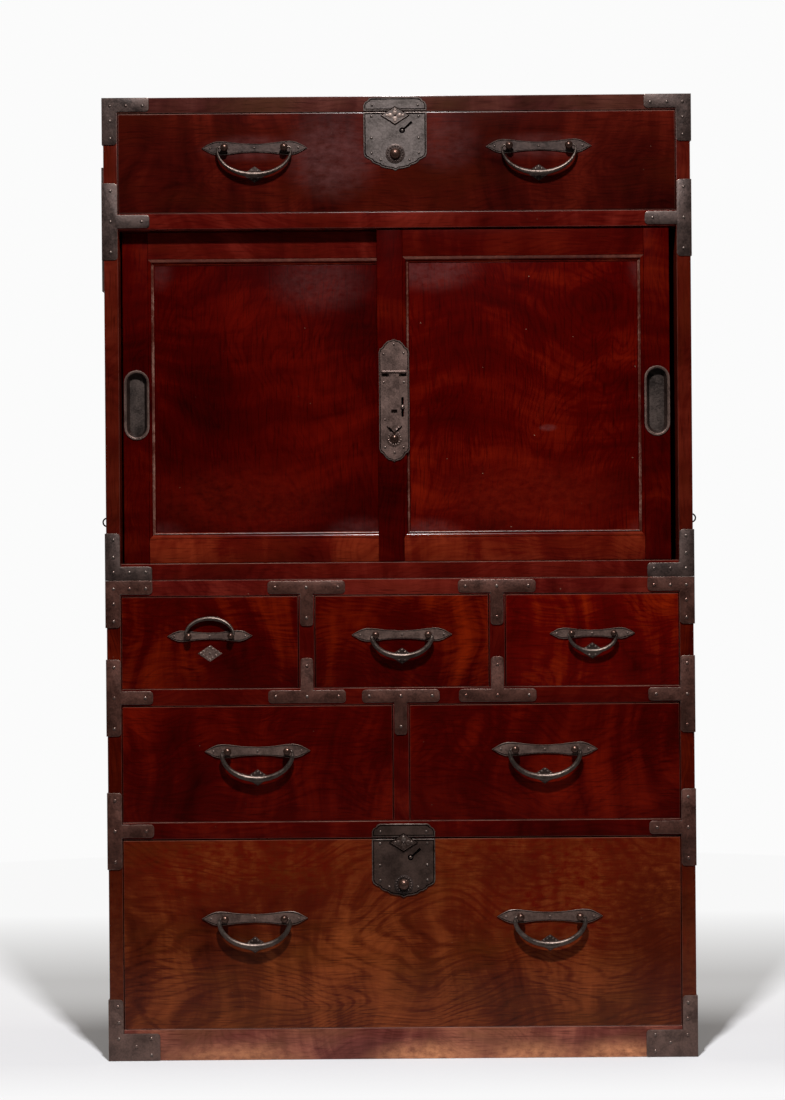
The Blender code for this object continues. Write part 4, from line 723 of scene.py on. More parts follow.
def smooth_outline(points, steps=4):
    """Return a smooth open line through points."""
    line = []
    last = len(points) - 1
    for index in range(last):
        knots = [Vector(points[min(max(index + step, 0), last)]) for step in (-1, 0, 1, 2)]
        for step in range(steps):
            share = step / steps
            a = 2 * knots[1]
            b = (knots[2] - knots[0]) * share
            c = (2 * knots[0] - 5 * knots[1] + 4 * knots[2] - knots[3]) * share ** 2
            d = (3 * knots[1] - knots[0] - 3 * knots[2] + knots[3]) * share ** 3
            line.append(tuple((a + b + c + d) / 2))
    line.append(tuple(points[-1]))
    return line


def add_plate(builder, outline, steps, material=0, face=on_front):
    """Add a plate: its outline drawn in by each step's first value, at the second one's depth."""
    rings = [[face(x, depth, z) for x, z in inset(outline, across)] for across, depth in steps]
    add_rings(builder, rings, material)


def iron_steps(back, face, bevel=IRON_BEVEL):
    """Return the steps of a plate with a bevelled face."""
    way = 1 if back > face else -1
    return [(0.0, back), (0.0, face + way * bevel), (bevel * 0.35, face + way * bevel * 0.3), (bevel, face)]


def add_block(builder, low, high, bevel=0.0, edge_material=1):
    """Add a block, with all its arrises rounded a little."""
    low, high = Vector(low), Vector(high)
    scale = Matrix.Diagonal((*(high - low), 1.0))
    made = bmesh.ops.create_cube(builder, size=1.0, matrix=Matrix.Translation((low + high) / 2) @ scale)
    if bevel:
        edges = list({edge for vertex in made["verts"] for edge in vertex.link_edges})
        bmesh.ops.bevel(
            builder, geom=edges, offset=bevel, segments=2, profile=0.6, affect="EDGES", material=edge_material,
        )


def round_arrises(builder, width, material=1):
    """Round every outer arris of a mesh, and give the arrises their own material."""
    bmesh.ops.recalc_face_normals(builder, faces=builder.faces)
    sharp = [edge for edge in builder.edges if edge.is_manifold and edge.calc_face_angle_signed() > 0.9]
    bmesh.ops.bevel(
        builder, geom=sharp, offset=width, segments=2, profile=0.6, affect="EDGES", material=material,
    )


def finish_piece(name, builder, materials, body, nodes=(), angle=SMOOTH_ANGLE_DEG):
    """Turn a mesh that is being built into a named piece that rides on a body."""
    bmesh.ops.recalc_face_normals(builder, faces=builder.faces)
    mesh = bpy.data.meshes.new(name)
    builder.to_mesh(mesh)
    builder.free()
    for material in materials:
        mesh.materials.append(material)
    mesh.shade_smooth()
    mesh.set_sharp_from_angle(angle=math.radians(angle))
    piece = bpy.data.objects.new(name, mesh)
    bpy.context.scene.collection.objects.link(piece)
    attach(piece, body)
    if nodes:
        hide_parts(*nodes)
    return piece


def carve(piece, builder, material=None):
    """Cut a mesh out of a piece, and line the cut with its own material."""
    bmesh.ops.recalc_face_normals(builder, faces=builder.faces)
    mesh = bpy.data.meshes.new("cutter")
    builder.to_mesh(mesh)
    builder.free()
    mesh.materials.append(material or piece.data.materials[0])
    cutter = bpy.data.objects.new("cutter", mesh)
    bpy.context.scene.collection.objects.link(cutter)
    modifier = piece.modifiers.new("carve", "BOOLEAN")
    modifier.operation = "DIFFERENCE"
    modifier.solver = "EXACT"
    modifier.material_mode = "TRANSFER"
    modifier.object = cutter
    bpy.context.view_layer.update()
    evaluated = piece.evaluated_get(bpy.context.evaluated_depsgraph_get())
    piece.data = bpy.data.meshes.new_from_object(evaluated)
    piece.modifiers.clear()
    bpy.data.objects.remove(cutter)


# Boards

def cross_board(name, section, woods, nodes=None, body="lower_case"):
    """Make a board between the sides from the outline of its section."""
    builder = bmesh.new()
    end = INNER_X - SEAT_GAP
    add_rings(builder, [[(x, y, z) for y, z in section] for x in (-end, end)])
    round_arrises(builder, ARRIS)
    return finish_piece(f"{name}_board", builder, woods, body, nodes or [name])


def side_board(name, side, low_z, high_z, woods, body):
    """Make a side with its rebate for the back board."""
    rebate_x = INNER_X + BACK_REBATE
    outline = [
        (INNER_X, FRONT), (HALF_WIDTH, FRONT), (HALF_WIDTH, BACK), (rebate_x, BACK),
        (rebate_x, BACK_INNER), (INNER_X, BACK_INNER),
    ]
    builder = bmesh.new()
    add_rings(builder, [[(side * x, y, z) for x, y in outline] for z in (low_z, high_z)])
    round_arrises(builder, ARRIS)
    return finish_piece(f"{name}_board", builder, woods, body, [name])


def rail_section(low_z, high_z, depth):
    """Return the section of a front rail with a thin shelf behind it, level on top."""
    back = RAIL_FRONT + depth
    under = high_z - SHELF_THICKNESS
    return [
        (RAIL_FRONT, low_z), (back, low_z), (back, under),
        (BACK_INNER, under), (BACK_INNER, high_z), (RAIL_FRONT, high_z),
    ]


def groove_edges():
    """Return the front and back of the two door grooves, the front one first."""
    half = TONGUE_THICKNESS / 2 + TONGUE_GAP
    middles = [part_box(door)[0].y + DOOR_THICKNESS / 2 for door in ("door_right", "door_left")]
    return [(middle - half, middle + half) for middle in middles]


def grooved_section(low_z, high_z, groove_z, depth):
    """Return the section of a rail with the two door grooves, from groove_z by a signed depth."""
    track_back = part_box("door_left")[0].y + DOOR_THICKNESS + TRACK_LAND
    section = rail_section(low_z, high_z, track_back - RAIL_FRONT)
    grooves = []
    for front, back in groove_edges():
        grooves += [(front, groove_z), (front, groove_z + depth), (back, groove_z + depth), (back, groove_z)]
    if depth > 0:
        return section[:1] + grooves + section[1:]
    return section[:5] + grooves[::-1] + section[5:]


def build_boards(rail_woods, upper_rail_woods, top_woods, lower_top_woods, side_woods, inner_woods, base_woods, back_woods):
    """Make the boards of both sections."""
    door_z, door_rail_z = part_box("upper_bottom")[1].z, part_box("door_rail")[0].z
    top_drawer_z, top_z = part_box("door_rail")[1].z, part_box("upper_top")[0].z
    row_one_z, lower_top_z = (z + way * SEAT_GAP for z, way in zip(
        (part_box("divider_left")[0].z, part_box("divider_left")[1].z), (-1, 1)))
    shelf_two_z, row_two_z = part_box("shelf_two")[0].z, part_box("shelf_two")[1].z
    shelf_one_z = row_one_z - (row_two_z - shelf_two_z)

    def plain(low_z, high_z):
        return [(RAIL_FRONT, low_z), (BACK_INNER, low_z), (BACK_INNER, high_z), (RAIL_FRONT, high_z)]

    cross_board("upper_top", plain(top_z, CHEST_HEIGHT), top_woods, body="upper_case")
    cross_board("lower_top", plain(lower_top_z, LOWER_HEIGHT), lower_top_woods)
    cross_board("door_rail", grooved_section(door_rail_z, top_drawer_z, door_rail_z, HEAD_GROOVE_DEPTH),
                upper_rail_woods, body="upper_case")
    cross_board("upper_bottom", grooved_section(UPPER_Z, door_z, door_z, -SILL_GROOVE_DEPTH),
                upper_rail_woods, body="upper_case")
    cross_board("shelf_one", rail_section(shelf_one_z, row_one_z, RAIL_DEPTH), rail_woods)
    cross_board("shelf_two", rail_section(shelf_two_z, row_two_z, RAIL_DEPTH), rail_woods)
    cross_board("lower_bottom", rail_section(0.0, rail_high.z, BASE_RAIL_DEPTH), base_woods)
    for side, word in ((-1, "left"), (1, "right")):
        side_board(f"upper_{word}_side", side, UPPER_Z, CHEST_HEIGHT, side_woods[0], "upper_case")
        side_board(f"lower_{word}_side", side, 0.0, LOWER_HEIGHT, side_woods[1], "lower_case")
    for name in ("divider_left", "divider_right", "divider_middle"):
        build_divider(name, inner_woods)
    for name, body in (("upper_back", "upper_case"), ("lower_back", "lower_case")):
        build_back(name, back_woods, body)
    return top_z, shelf_two_z, door_z, door_rail_z, row_one_z, lower_top_z, shelf_one_z, row_two_z


def build_divider(name, woods):
    """Make an upright between two drawers, notched behind the rail where it reaches above it."""
    low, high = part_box(name)
    outline = [(low.y, low.z), (high.y, low.z), (high.y, high.z)]
    if name == "divider_middle":
        rail_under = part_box("divider_left")[0].z - SEAT_GAP - (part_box("shelf_two")[1].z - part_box("shelf_two")[0].z)
        notch = RAIL_FRONT + RAIL_DEPTH + SEAT_GAP
        outline += [(notch, high.z), (notch, rail_under - SEAT_GAP), (low.y, rail_under - SEAT_GAP)]
    else:
        outline.append((low.y, high.z))
    builder = bmesh.new()
    add_rings(builder, [[(x, y, z) for y, z in outline] for x in (low.x, high.x)])
    round_arrises(builder, ARRIS)
    finish_piece(f"{name}_board", builder, woods, "lower_case", [name])


def build_back(name, woods, body):
    """Make a back of upright boards with a narrow joint between them."""
    low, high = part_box(name)
    builder = bmesh.new()
    width = (high.x - low.x) / BACK_BOARDS
    for index in range(BACK_BOARDS):
        start = low.x + index * width
        end = start + width - (JOINT_GAP if index < BACK_BOARDS - 1 else 0)
        add_block(builder, (start, low.y, low.z), (end, high.y, high.z), ARRIS)
    finish_piece(f"{name}_boards", builder, woods, body, [name])


# Irons

def corner_iron(name, side, up, corner_z, rise, reach, arm_height, nails, irons, body):
    """Make a corner iron: an L on the front, folded back along the side, with its nails."""
    leaf_x = HALF_WIDTH + SEAT_GAP
    outer_x = leaf_x + IRON_THICKNESS
    back = FRONT - SEAT_GAP
    face = back - IRON_THICKNESS
    arm_width = outer_x - HALF_WIDTH + CORNER_ARM
    corners = [
        (0.0, 0.0, 0.0), (reach, 0.0, IRON_ROUND / 2), (reach, arm_height, IRON_ROUND),
        (arm_width, arm_height, 0.0), (arm_width, rise, IRON_ROUND), (0.0, rise, 0.0),
    ]
    outline = [(side * (outer_x - inward), corner_z + up * along) for inward, along in rounded(corners)]
    builder = bmesh.new()
    add_plate(builder, outline, iron_steps(back, face), IRON_BANDS)
    low_z, high_z = sorted((corner_z, corner_z + up * rise))
    add_leaf(builder, side, leaf_x, low_z, high_z, IRON_THICKNESS, back)
    for inward, along in nails:
        place = (side * (outer_x - inward), face, corner_z + up * along)
        add_nail(builder, place, (0, -1, 0))
    for along in (rise * 0.2, rise * 0.84):
        place = (side * outer_x, FRONT + SIDE_LEAF_DEPTH / 2, corner_z + up * along)
        add_nail(builder, place, (side, 0, 0))
    finish_piece(f"{name}_iron", builder, irons, body, [name])


def add_leaf(builder, side, inner_x, low_z, high_z, thickness, front_y):
    """Add the leaf of an iron that lies on the outer face of a side."""
    back_y = FRONT + SIDE_LEAF_DEPTH
    corners = [(front_y, low_z, 0), (back_y, low_z, IRON_ROUND), (back_y, high_z, IRON_ROUND), (front_y, high_z, 0)]
    steps = iron_steps(side * inner_x, side * (inner_x + thickness))
    add_plate(builder, rounded(corners), steps, face=on_side)


def build_corner_irons(irons, brown_irons, base_irons):
    """Make the eight corner irons."""
    reach, arm = CORNER_IRON_REACH, CORNER_ARM
    for side, word in ((-1, "left"), (1, "right")):
        places = [
            ("upper_top", -1, CHEST_HEIGHT, "upper_case", irons),
            ("upper_bottom", 1, UPPER_Z, "upper_case", irons),
            ("lower_top", -1, LOWER_HEIGHT, "lower_case", brown_irons),
        ]
        for where, up, corner_z, body, metals in places:
            corner_iron(f"corner_iron_{where}_{word}", side, up, corner_z, reach, reach, arm,
                        CORNER_NAILS, metals, body)
        corner_iron(f"corner_iron_base_{word}", side, 1, 0.0, BASE_IRON_RISE, BASE_IRON_REACH,
                    BASE_IRON_ARM, BASE_NAILS, base_irons, "lower_case")


def side_t_iron(name, side, arm_z, leaf, irons, body):
    """Make a T iron: a bar on the side's edge, an arm on the rail and a leaf round the side."""
    leaf_height, leaf_drop, leaf_thickness = leaf
    outer_x = HALF_WIDTH + leaf_thickness
    bar_inner = HALF_WIDTH - CORNER_ARM
    face = FRONT - IRON_THICKNESS
    low_z, high_z = arm_z - T_IRON_HEIGHT / 2, arm_z + T_IRON_HEIGHT / 2
    half_arm = T_IRON_ARM / 2
    end_x = HALF_WIDTH - T_IRON_REACH
    corners = [
        (outer_x, low_z, 0.0), (outer_x, high_z, 0.0), (bar_inner, high_z, IRON_ROUND),
        (bar_inner, arm_z + half_arm, 0.0), (end_x, arm_z + half_arm, IRON_ROUND),
        (end_x, arm_z - half_arm, IRON_ROUND), (bar_inner, arm_z - half_arm, 0.0),
        (bar_inner, low_z, IRON_ROUND),
    ]
    builder = bmesh.new()
    add_plate(builder, [(side * x, z) for x, z in rounded(corners)], iron_steps(FRONT, face), IRON_BANDS)
    leaf_low = arm_z - leaf_drop
    add_leaf(builder, side, HALF_WIDTH, leaf_low, leaf_low + leaf_height, leaf_thickness, FRONT)
    nail_x = HALF_WIDTH - CORNER_ARM / 2
    for step in (-1, 0, 1):
        add_nail(builder, (side * nail_x, face, arm_z + step * T_NAIL_SPREAD), (0, -1, 0))
        leaf_nail_z = leaf_low + leaf_height * (0.5 + 0.4 * step)
        add_nail(builder, (side * outer_x, FRONT + SIDE_LEAF_DEPTH / 2, leaf_nail_z), (side, 0, 0))
    add_nail(builder, (side * (HALF_WIDTH - T_ARM_NAIL), face, arm_z), (0, -1, 0))
    finish_piece(name, builder, irons, body)


def divider_t_iron(name, centre_x, rail_z, up, irons):
    """Make a T iron: a bar on a rail and a leg on the divider, above the rail or below it."""
    half_bar, half_leg = T_BAR_LENGTH / 2, T_LEG_WIDTH / 2
    edge, inner = -up * T_BAR_HEIGHT / 2, up * T_BAR_HEIGHT / 2
    tip = edge + up * T_LEG_REACH
    right = [
        (half_bar, edge, IRON_ROUND), (half_bar, inner, IRON_ROUND), (half_leg, inner, 0.0),
        (half_leg, tip, IRON_ROUND),
    ]
    corners = right + [(-x, z, radius) for x, z, radius in reversed(right)]
    outline = [(centre_x + x, rail_z + z) for x, z in rounded(corners)]
    face = RAIL_FRONT - IRON_THICKNESS
    builder = bmesh.new()
    add_plate(builder, outline, iron_steps(RAIL_FRONT, face), IRON_BANDS)
    for x, z in ((-BAR_NAIL_SPREAD, 0.0), (0.0, 0.0), (BAR_NAIL_SPREAD, 0.0), (0.0, up * LEG_NAIL_DROP)):
        add_nail(builder, (centre_x + x, face, rail_z + z), (0, -1, 0))
    finish_piece(name, builder, irons, "lower_case")


def build_t_irons(levels, irons, brown_irons):
    """Make the T irons of the sides and of the dividers."""
    top_z, shelf_two_z, door_z, door_rail_z, row_one_z, lower_top_z, shelf_one_z, row_two_z = levels
    upper_arm = (door_rail_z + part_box("door_rail")[1].z) / 2
    low_leaf = (T_IRON_HEIGHT, T_IRON_HEIGHT / 2, IRON_THICKNESS)
    tall_leaf = (TALL_LEAF_HEIGHT, TALL_LEAF_DROP, TALL_LEAF_THICKNESS)
    side_t_iron("t_iron_upper_left", -1, upper_arm, tall_leaf, irons, "upper_case")
    side_t_iron("t_iron_upper_right", 1, upper_arm, low_leaf, irons, "upper_case")
    one_z = (shelf_one_z + row_one_z) / 2
    two_z = (shelf_two_z + row_two_z) / 2
    for side, word in ((-1, "left"), (1, "right")):
        side_t_iron(f"t_iron_shelf_one_{word}", side, one_z, low_leaf, brown_irons, "lower_case")
        side_t_iron(f"t_iron_shelf_two_{word}", side, two_z, low_leaf, brown_irons, "lower_case")
    for word in ("left", "right"):
        low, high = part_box(f"divider_{word}")
        centre_x = (low.x + high.x) / 2
        divider_t_iron(f"t_iron_{word}_above", centre_x, (lower_top_z + LOWER_HEIGHT) / 2, -1, brown_irons)
        divider_t_iron(f"t_iron_{word}_below", centre_x, one_z, 1, brown_irons)
    divider_t_iron("t_iron_middle", 0.0, one_z, -1, brown_irons)


def ring_eye(side, word, irons):
    """Make a wire ring on its small round plate on the side of the upper section."""
    centre = Vector((side * (HALF_WIDTH + RING_STANDOFF), FRONT + RING_SETBACK, UPPER_Z + RING_RISE))
    builder = bmesh.new()
    rings = []
    for step in range(FINE_SIDES):
        angle = 2 * math.pi * step / FINE_SIDES
        outward = Vector((math.cos(angle), 0, math.sin(angle)))
        ring = []
        for corner in range(NAIL_SIDES):
            turn = 2 * math.pi * corner / NAIL_SIDES
            across = outward * math.cos(turn) + Vector((0, math.sin(turn), 0))
            ring.append(centre + outward * RING_RADIUS + across * RING_WIRE_RADIUS)
        rings.append(ring)
    add_rings(builder, rings, 0, True)
    foot = Vector((side * HALF_WIDTH, centre.y, centre.z))
    boss = [(0.0, RING_RADIUS), (0.0006, RING_RADIUS), (0.0011, RING_RADIUS * 0.85)]
    add_turned(builder, foot, (side, 0, 0), boss)
    finish_piece(f"ring_eye_{word}", builder, irons, "upper_case")


# Drawers

def make_drawer(name, woods, tray_woods):
    """Make a drawer: its front with worn arrises that carry a painted highlight, and the tray of plain boards behind
    it.
    """
    low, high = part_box(name)
    front_back = DRAWER_FRONT + DRAWER_FRONT_THICKNESS
    builder = bmesh.new()
    add_block(builder, (low.x, DRAWER_FRONT, low.z), (high.x, front_back, high.z), DRAWER_ARRIS)
    front = finish_piece(f"{name}_front", builder, woods, name, [name])
    wall = DRAWER_WALL
    top = high.z - DRAWER_SIDE_DROP
    start = front_back + JOINT_GAP
    builder = bmesh.new()
    for side_low in (low.x, high.x - wall):
        add_block(builder, (side_low, start, low.z), (side_low + wall, high.y, top), ARRIS)
    inner_low, inner_high = low.x + wall + JOINT_GAP, high.x - wall - JOINT_GAP
    add_block(builder, (inner_low, high.y - wall, low.z), (inner_high, high.y, top), ARRIS)
    floor_end = high.y - wall - JOINT_GAP
    add_block(builder, (inner_low, start, low.z), (inner_high, floor_end, low.z + DRAWER_BOTTOM), ARRIS)
    finish_piece(f"{name}_tray", builder, tray_woods, name)
    return front


# Handles

def mirrored_line(shares, half_width, height):
    """Return a symmetric smooth line from right to left, from the shares of its right half."""
    right = smooth_outline([(half_width * across, height * up) for across, up in shares])
    return right + [(-x, z) for x, z in reversed(right[:-1])]


def drawn_in(outline, steps, centre, half_width, half_height):
    """Return rings of an outline about its centre, drawn in towards it by each step."""
    rings = []
    for across, depth in steps:
        wide, tall = 1 - across / half_width, 1 - across / half_height
        rings.append([(centre[0] + x * wide, depth, centre[1] + z * tall) for x, z in outline])
    return rings


def grooved_steps(back, face, rim=0.0013, groove=0.0004):
    """Return the steps of a plate with a line sunk along its edge."""
    bevel = IRON_BEVEL * 0.8
    return [
        (0.0, back), (0.0, face + bevel), (bevel, face), (rim, face), (rim * 1.15, face + groove),
        (rim * 1.9, face + groove), (rim * 2.1, face + groove * 0.25),
    ]


def handle_plate(label, kind, irons, body):
    """Make a handle's pointed plate with its nails and its two ball-headed posts."""
    node = f"handle_plate_{label}"
    low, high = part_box(node)
    spacing, ball, _, _ = HANDLE_KINDS[kind]
    centre = ((low.x + high.x) / 2, (low.z + high.z) / 2)
    half_length, half_height = (high.x - low.x) / 2, (high.z - low.z) / 2
    upper = mirrored_line(PLATE_SHARES, half_length, half_height)
    outline = upper + [(x, -z) for x, z in reversed(upper[1:-1])]
    back, face = high.y, high.y - PLATE_THICKNESS
    builder = bmesh.new()
    rings = drawn_in(outline, grooved_steps(back, face, 0.0011), centre, half_length, half_height)
    add_rings(builder, rings, LIP_BANDS)
    for share in (-0.83, 0.0, 0.83):
        place = (centre[0] + share * half_length, face, centre[1])
        add_nail(builder, place, (0, -1, 0), NAIL_RADIUS * 0.75, NAIL_HEIGHT * 0.8)
    pivot = pivots[f"bail_{label}"]
    stand = face - pivot.y
    neck = ball * POST_NECK_SHARE
    for side in (-1, 1):
        profile = [(-0.0004, neck * 1.45), (0.0007, neck * 1.45), (0.0012, neck * 1.1), (0.0016, neck)]
        start = math.asin(POST_NECK_SHARE)
        for step in range(13):
            angle = start + (math.pi - start) * step / 12.5
            profile.append((stand - ball * math.cos(angle), ball * math.sin(angle)))
        add_turned(builder, (centre[0] + side * spacing / 2, face, centre[1]), (0, -1, 0), profile, FINE_SIDES, 2)
    finish_piece(f"{node}_iron", builder, irons, body, [node])


def bail_path(half_outer, post, ball, drop, grip, steps=48):
    """Return a bail's centre line from the left post to the right one, as x and z."""
    bend = (half_outer - post - ball * POST_NECK_SHARE) / 2
    depth = drop - grip - bend
    points = [(-post + ball / 2, 0.0), (-half_outer + bend * 1.6, 0.0)]
    for step in range(5):
        angle = math.pi / 2 * step / 5
        points.append((-half_outer + bend * (1 - math.sin(angle)), -bend * (1 - math.cos(angle))))
    ends = len(points)
    for step in range(steps + 1):
        angle = math.pi + math.pi * step / steps
        points.append((half_outer * math.cos(angle), -bend + depth * math.sin(angle)))
    points += [(-x, z) for x, z in reversed(points[:ends])]
    return points, ends


def make_bail(label, kind, irons, drop, raised, keel):
    """Make a bail: a bar with a heavy grip that thins and turns in at both posts."""
    node = f"bail_{label}"
    low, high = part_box(node)
    spacing, ball, grip, pin = HANDLE_KINDS[kind]
    pivot = pivots[node]
    taper, inward = (BAIL_TAPER_SHARE, 0.0) if label.startswith("top") else (THICK_TAPER_SHARE, THICK_INSET)
    half_outer = (high.x - low.x) / 2 - pin - inward
    sides = 16
    path, ends = bail_path(half_outer, spacing / 2, ball, drop, grip)
    room = DRAWER_FRONT - pivot.y - grip - SEAT_GAP
    lean = math.pi + math.asin(room / drop) if raised else 0.0
    turn_back = Matrix.Rotation(-lean, 4, "X")
    rings = []
    for index, (x, z) in enumerate(path):
        before, after = path[max(index - 1, 0)], path[min(index + 1, len(path) - 1)]
        along = Vector((after[0] - before[0], 0, after[1] - before[1])).normalized()
        across = Vector((along.z, 0, -along.x))
        share = max(0.0, 1 - abs(x) / half_outer)
        thin = index < ends or index >= len(path) - ends
        radius = pin if thin else pin + (grip - pin) * share ** taper
        ring = []
        for corner in range(sides):
            turn = 2 * math.pi * corner / sides
            tall = radius if thin else radius * (1 + (BAIL_DEPTH_SHARE - 1) * share)
            offset = across * math.cos(turn) * tall + Vector((0, math.sin(turn), 0)) * radius
            if keel and not thin:
                offset.z -= keel * max(0.0, 1 - abs(x) / 0.012) * max(0.0, -offset.z / radius) ** 2
            ring.append(pivot + turn_back @ (Vector((x, 0, z)) + offset))
        rings.append(ring)
    builder = bmesh.new()
    add_rings(builder, rings)
    finish_piece(f"{node}_iron", builder, irons, node, [node], 60.0)


def diamond_plate(label, irons, body, centre_x, pivot_z, drop, material):
    """Make the studded diamond that a bail knocks on."""
    centre = (centre_x, pivot_z - drop * DIAMOND_DROP_SHARE)
    wide, tall = DIAMOND_HALF_WIDTH, DIAMOND_HALF_HEIGHT
    outline = [(wide, 0), (0, tall), (-wide, 0), (0, -tall)]
    face = DRAWER_FRONT - DIAMOND_THICKNESS
    steps = [(0.0, DRAWER_FRONT), (0.0, face + 0.0002), (0.0004, face)]
    builder = bmesh.new()
    add_rings(builder, drawn_in(outline, steps, centre, wide, tall), material)
    for step in range(12):
        corner, share = step // 3, (step % 3) / 3
        first, second = outline[corner], outline[(corner + 1) % 4]
        x = 0.74 * (first[0] + (second[0] - first[0]) * share)
        z = 0.74 * (first[1] + (second[1] - first[1]) * share)
        add_nail(builder, (centre[0] + x, face, centre[1] + z), (0, -1, 0), 0.0014, DIAMOND_NAIL_HEIGHT)
    add_nail(builder, (centre[0], face, centre[1]), (0, -1, 0), 0.0022, DIAMOND_NAIL_HEIGHT)
    finish_piece(f"diamond_{label}", builder, irons, body)


def fit_handles(irons, upper_irons):
    """Fit all nine handles to their drawers."""
    parents = {joint["child"]: joint["parent"] for joint in frame["joints"]}
    for node in sorted(name for name in frame["nodes"] if name.startswith("bail_")):
        label = node[len("bail_"):]
        kind = "large"
        if label.startswith("small"):
            kind = "medium" if label == "small_middle" else "small"
        raised = label == "small_left"
        pivot = pivots[node]
        drop = pivot.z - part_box("bail_small_right" if raised else node)[0].z
        body = parents[node]
        keel = 0.0016 if label.startswith(("row", "large")) else 0.0
        metals = upper_irons if label.startswith("top") else irons
        handle_plate(label, kind, metals, body)
        make_bail(label, kind, irons[3:4], drop, raised, keel)
        # A diamond under a hanging bail takes the darker washer iron as painted shade of the bail; an uncovered one
        # keeps the plate's iron
        diamond_plate(label, metals, body, pivot.x, pivot.z, drop, 0 if raised else 5)


# Drawer locks

def add_beads(builder, centre, radius, bead, count, depth, material=0):
    """Add a ring of beads that face the front."""
    for step in range(count):
        angle = 2 * math.pi * (step + 0.5) / count
        place = (centre[0] + radius * math.cos(angle), depth, centre[1] + radius * math.sin(angle))
        add_turned(builder, place, (0, -1, 0), dome(-0.0003, bead, bead, 3), 10, material)


def add_flower(builder, centre, back, material=0):
    """Add the diamond with a five-petalled flower that laps over the strike."""
    wide, tall = FLOWER_HALF_WIDTH, FLOWER_HALF_HEIGHT
    count = 48
    outline = []
    for step in range(count):
        angle = 2 * math.pi * step / count
        across, up = math.cos(angle), math.sin(angle)
        reach = 1 / (abs(across) + abs(up))
        lobe = 1 - 0.045 * (0.5 + 0.5 * math.cos(12 * angle)) * (1 - abs(math.cos(2 * angle))) ** 0.3
        outline.append((wide * across * reach * lobe, tall * up * reach * lobe))
    face = back - FLOWER_THICKNESS * 0.7
    steps = [(0.0, back), (0.0, face + 0.0006), (0.0009, face), (0.0014, face), (0.0017, face + 0.0003)]
    # The flower's side, its first bevel and a thin rim round it take the near-black iron: painted shade
    add_rings(builder, drawn_in(outline, steps, centre, wide, tall), [4, 4, material, material])
    rim = [(-FLOWER_RIM, back), (-FLOWER_RIM, back - FLOWER_RIM / 3)]
    add_rings(builder, drawn_in(outline, rim, centre, wide, tall), 4)
    for petal in range(4):
        angle = math.pi / 2 * petal
        along = Vector((math.cos(angle) * wide, math.sin(angle) * tall))
        for share, size in ((0.34, 0.0040), (0.58, 0.0026)):
            place = (centre[0] + along.x * share, face + 0.0003, centre[1] + along.y * share)
            add_turned(builder, place, (0, -1, 0), dome(0.0, 0.0012, size, 3), 14, material)
    add_nail(builder, (centre[0], face + 0.0002, centre[1]), (0, -1, 0), 0.0022, 0.0018, 5)


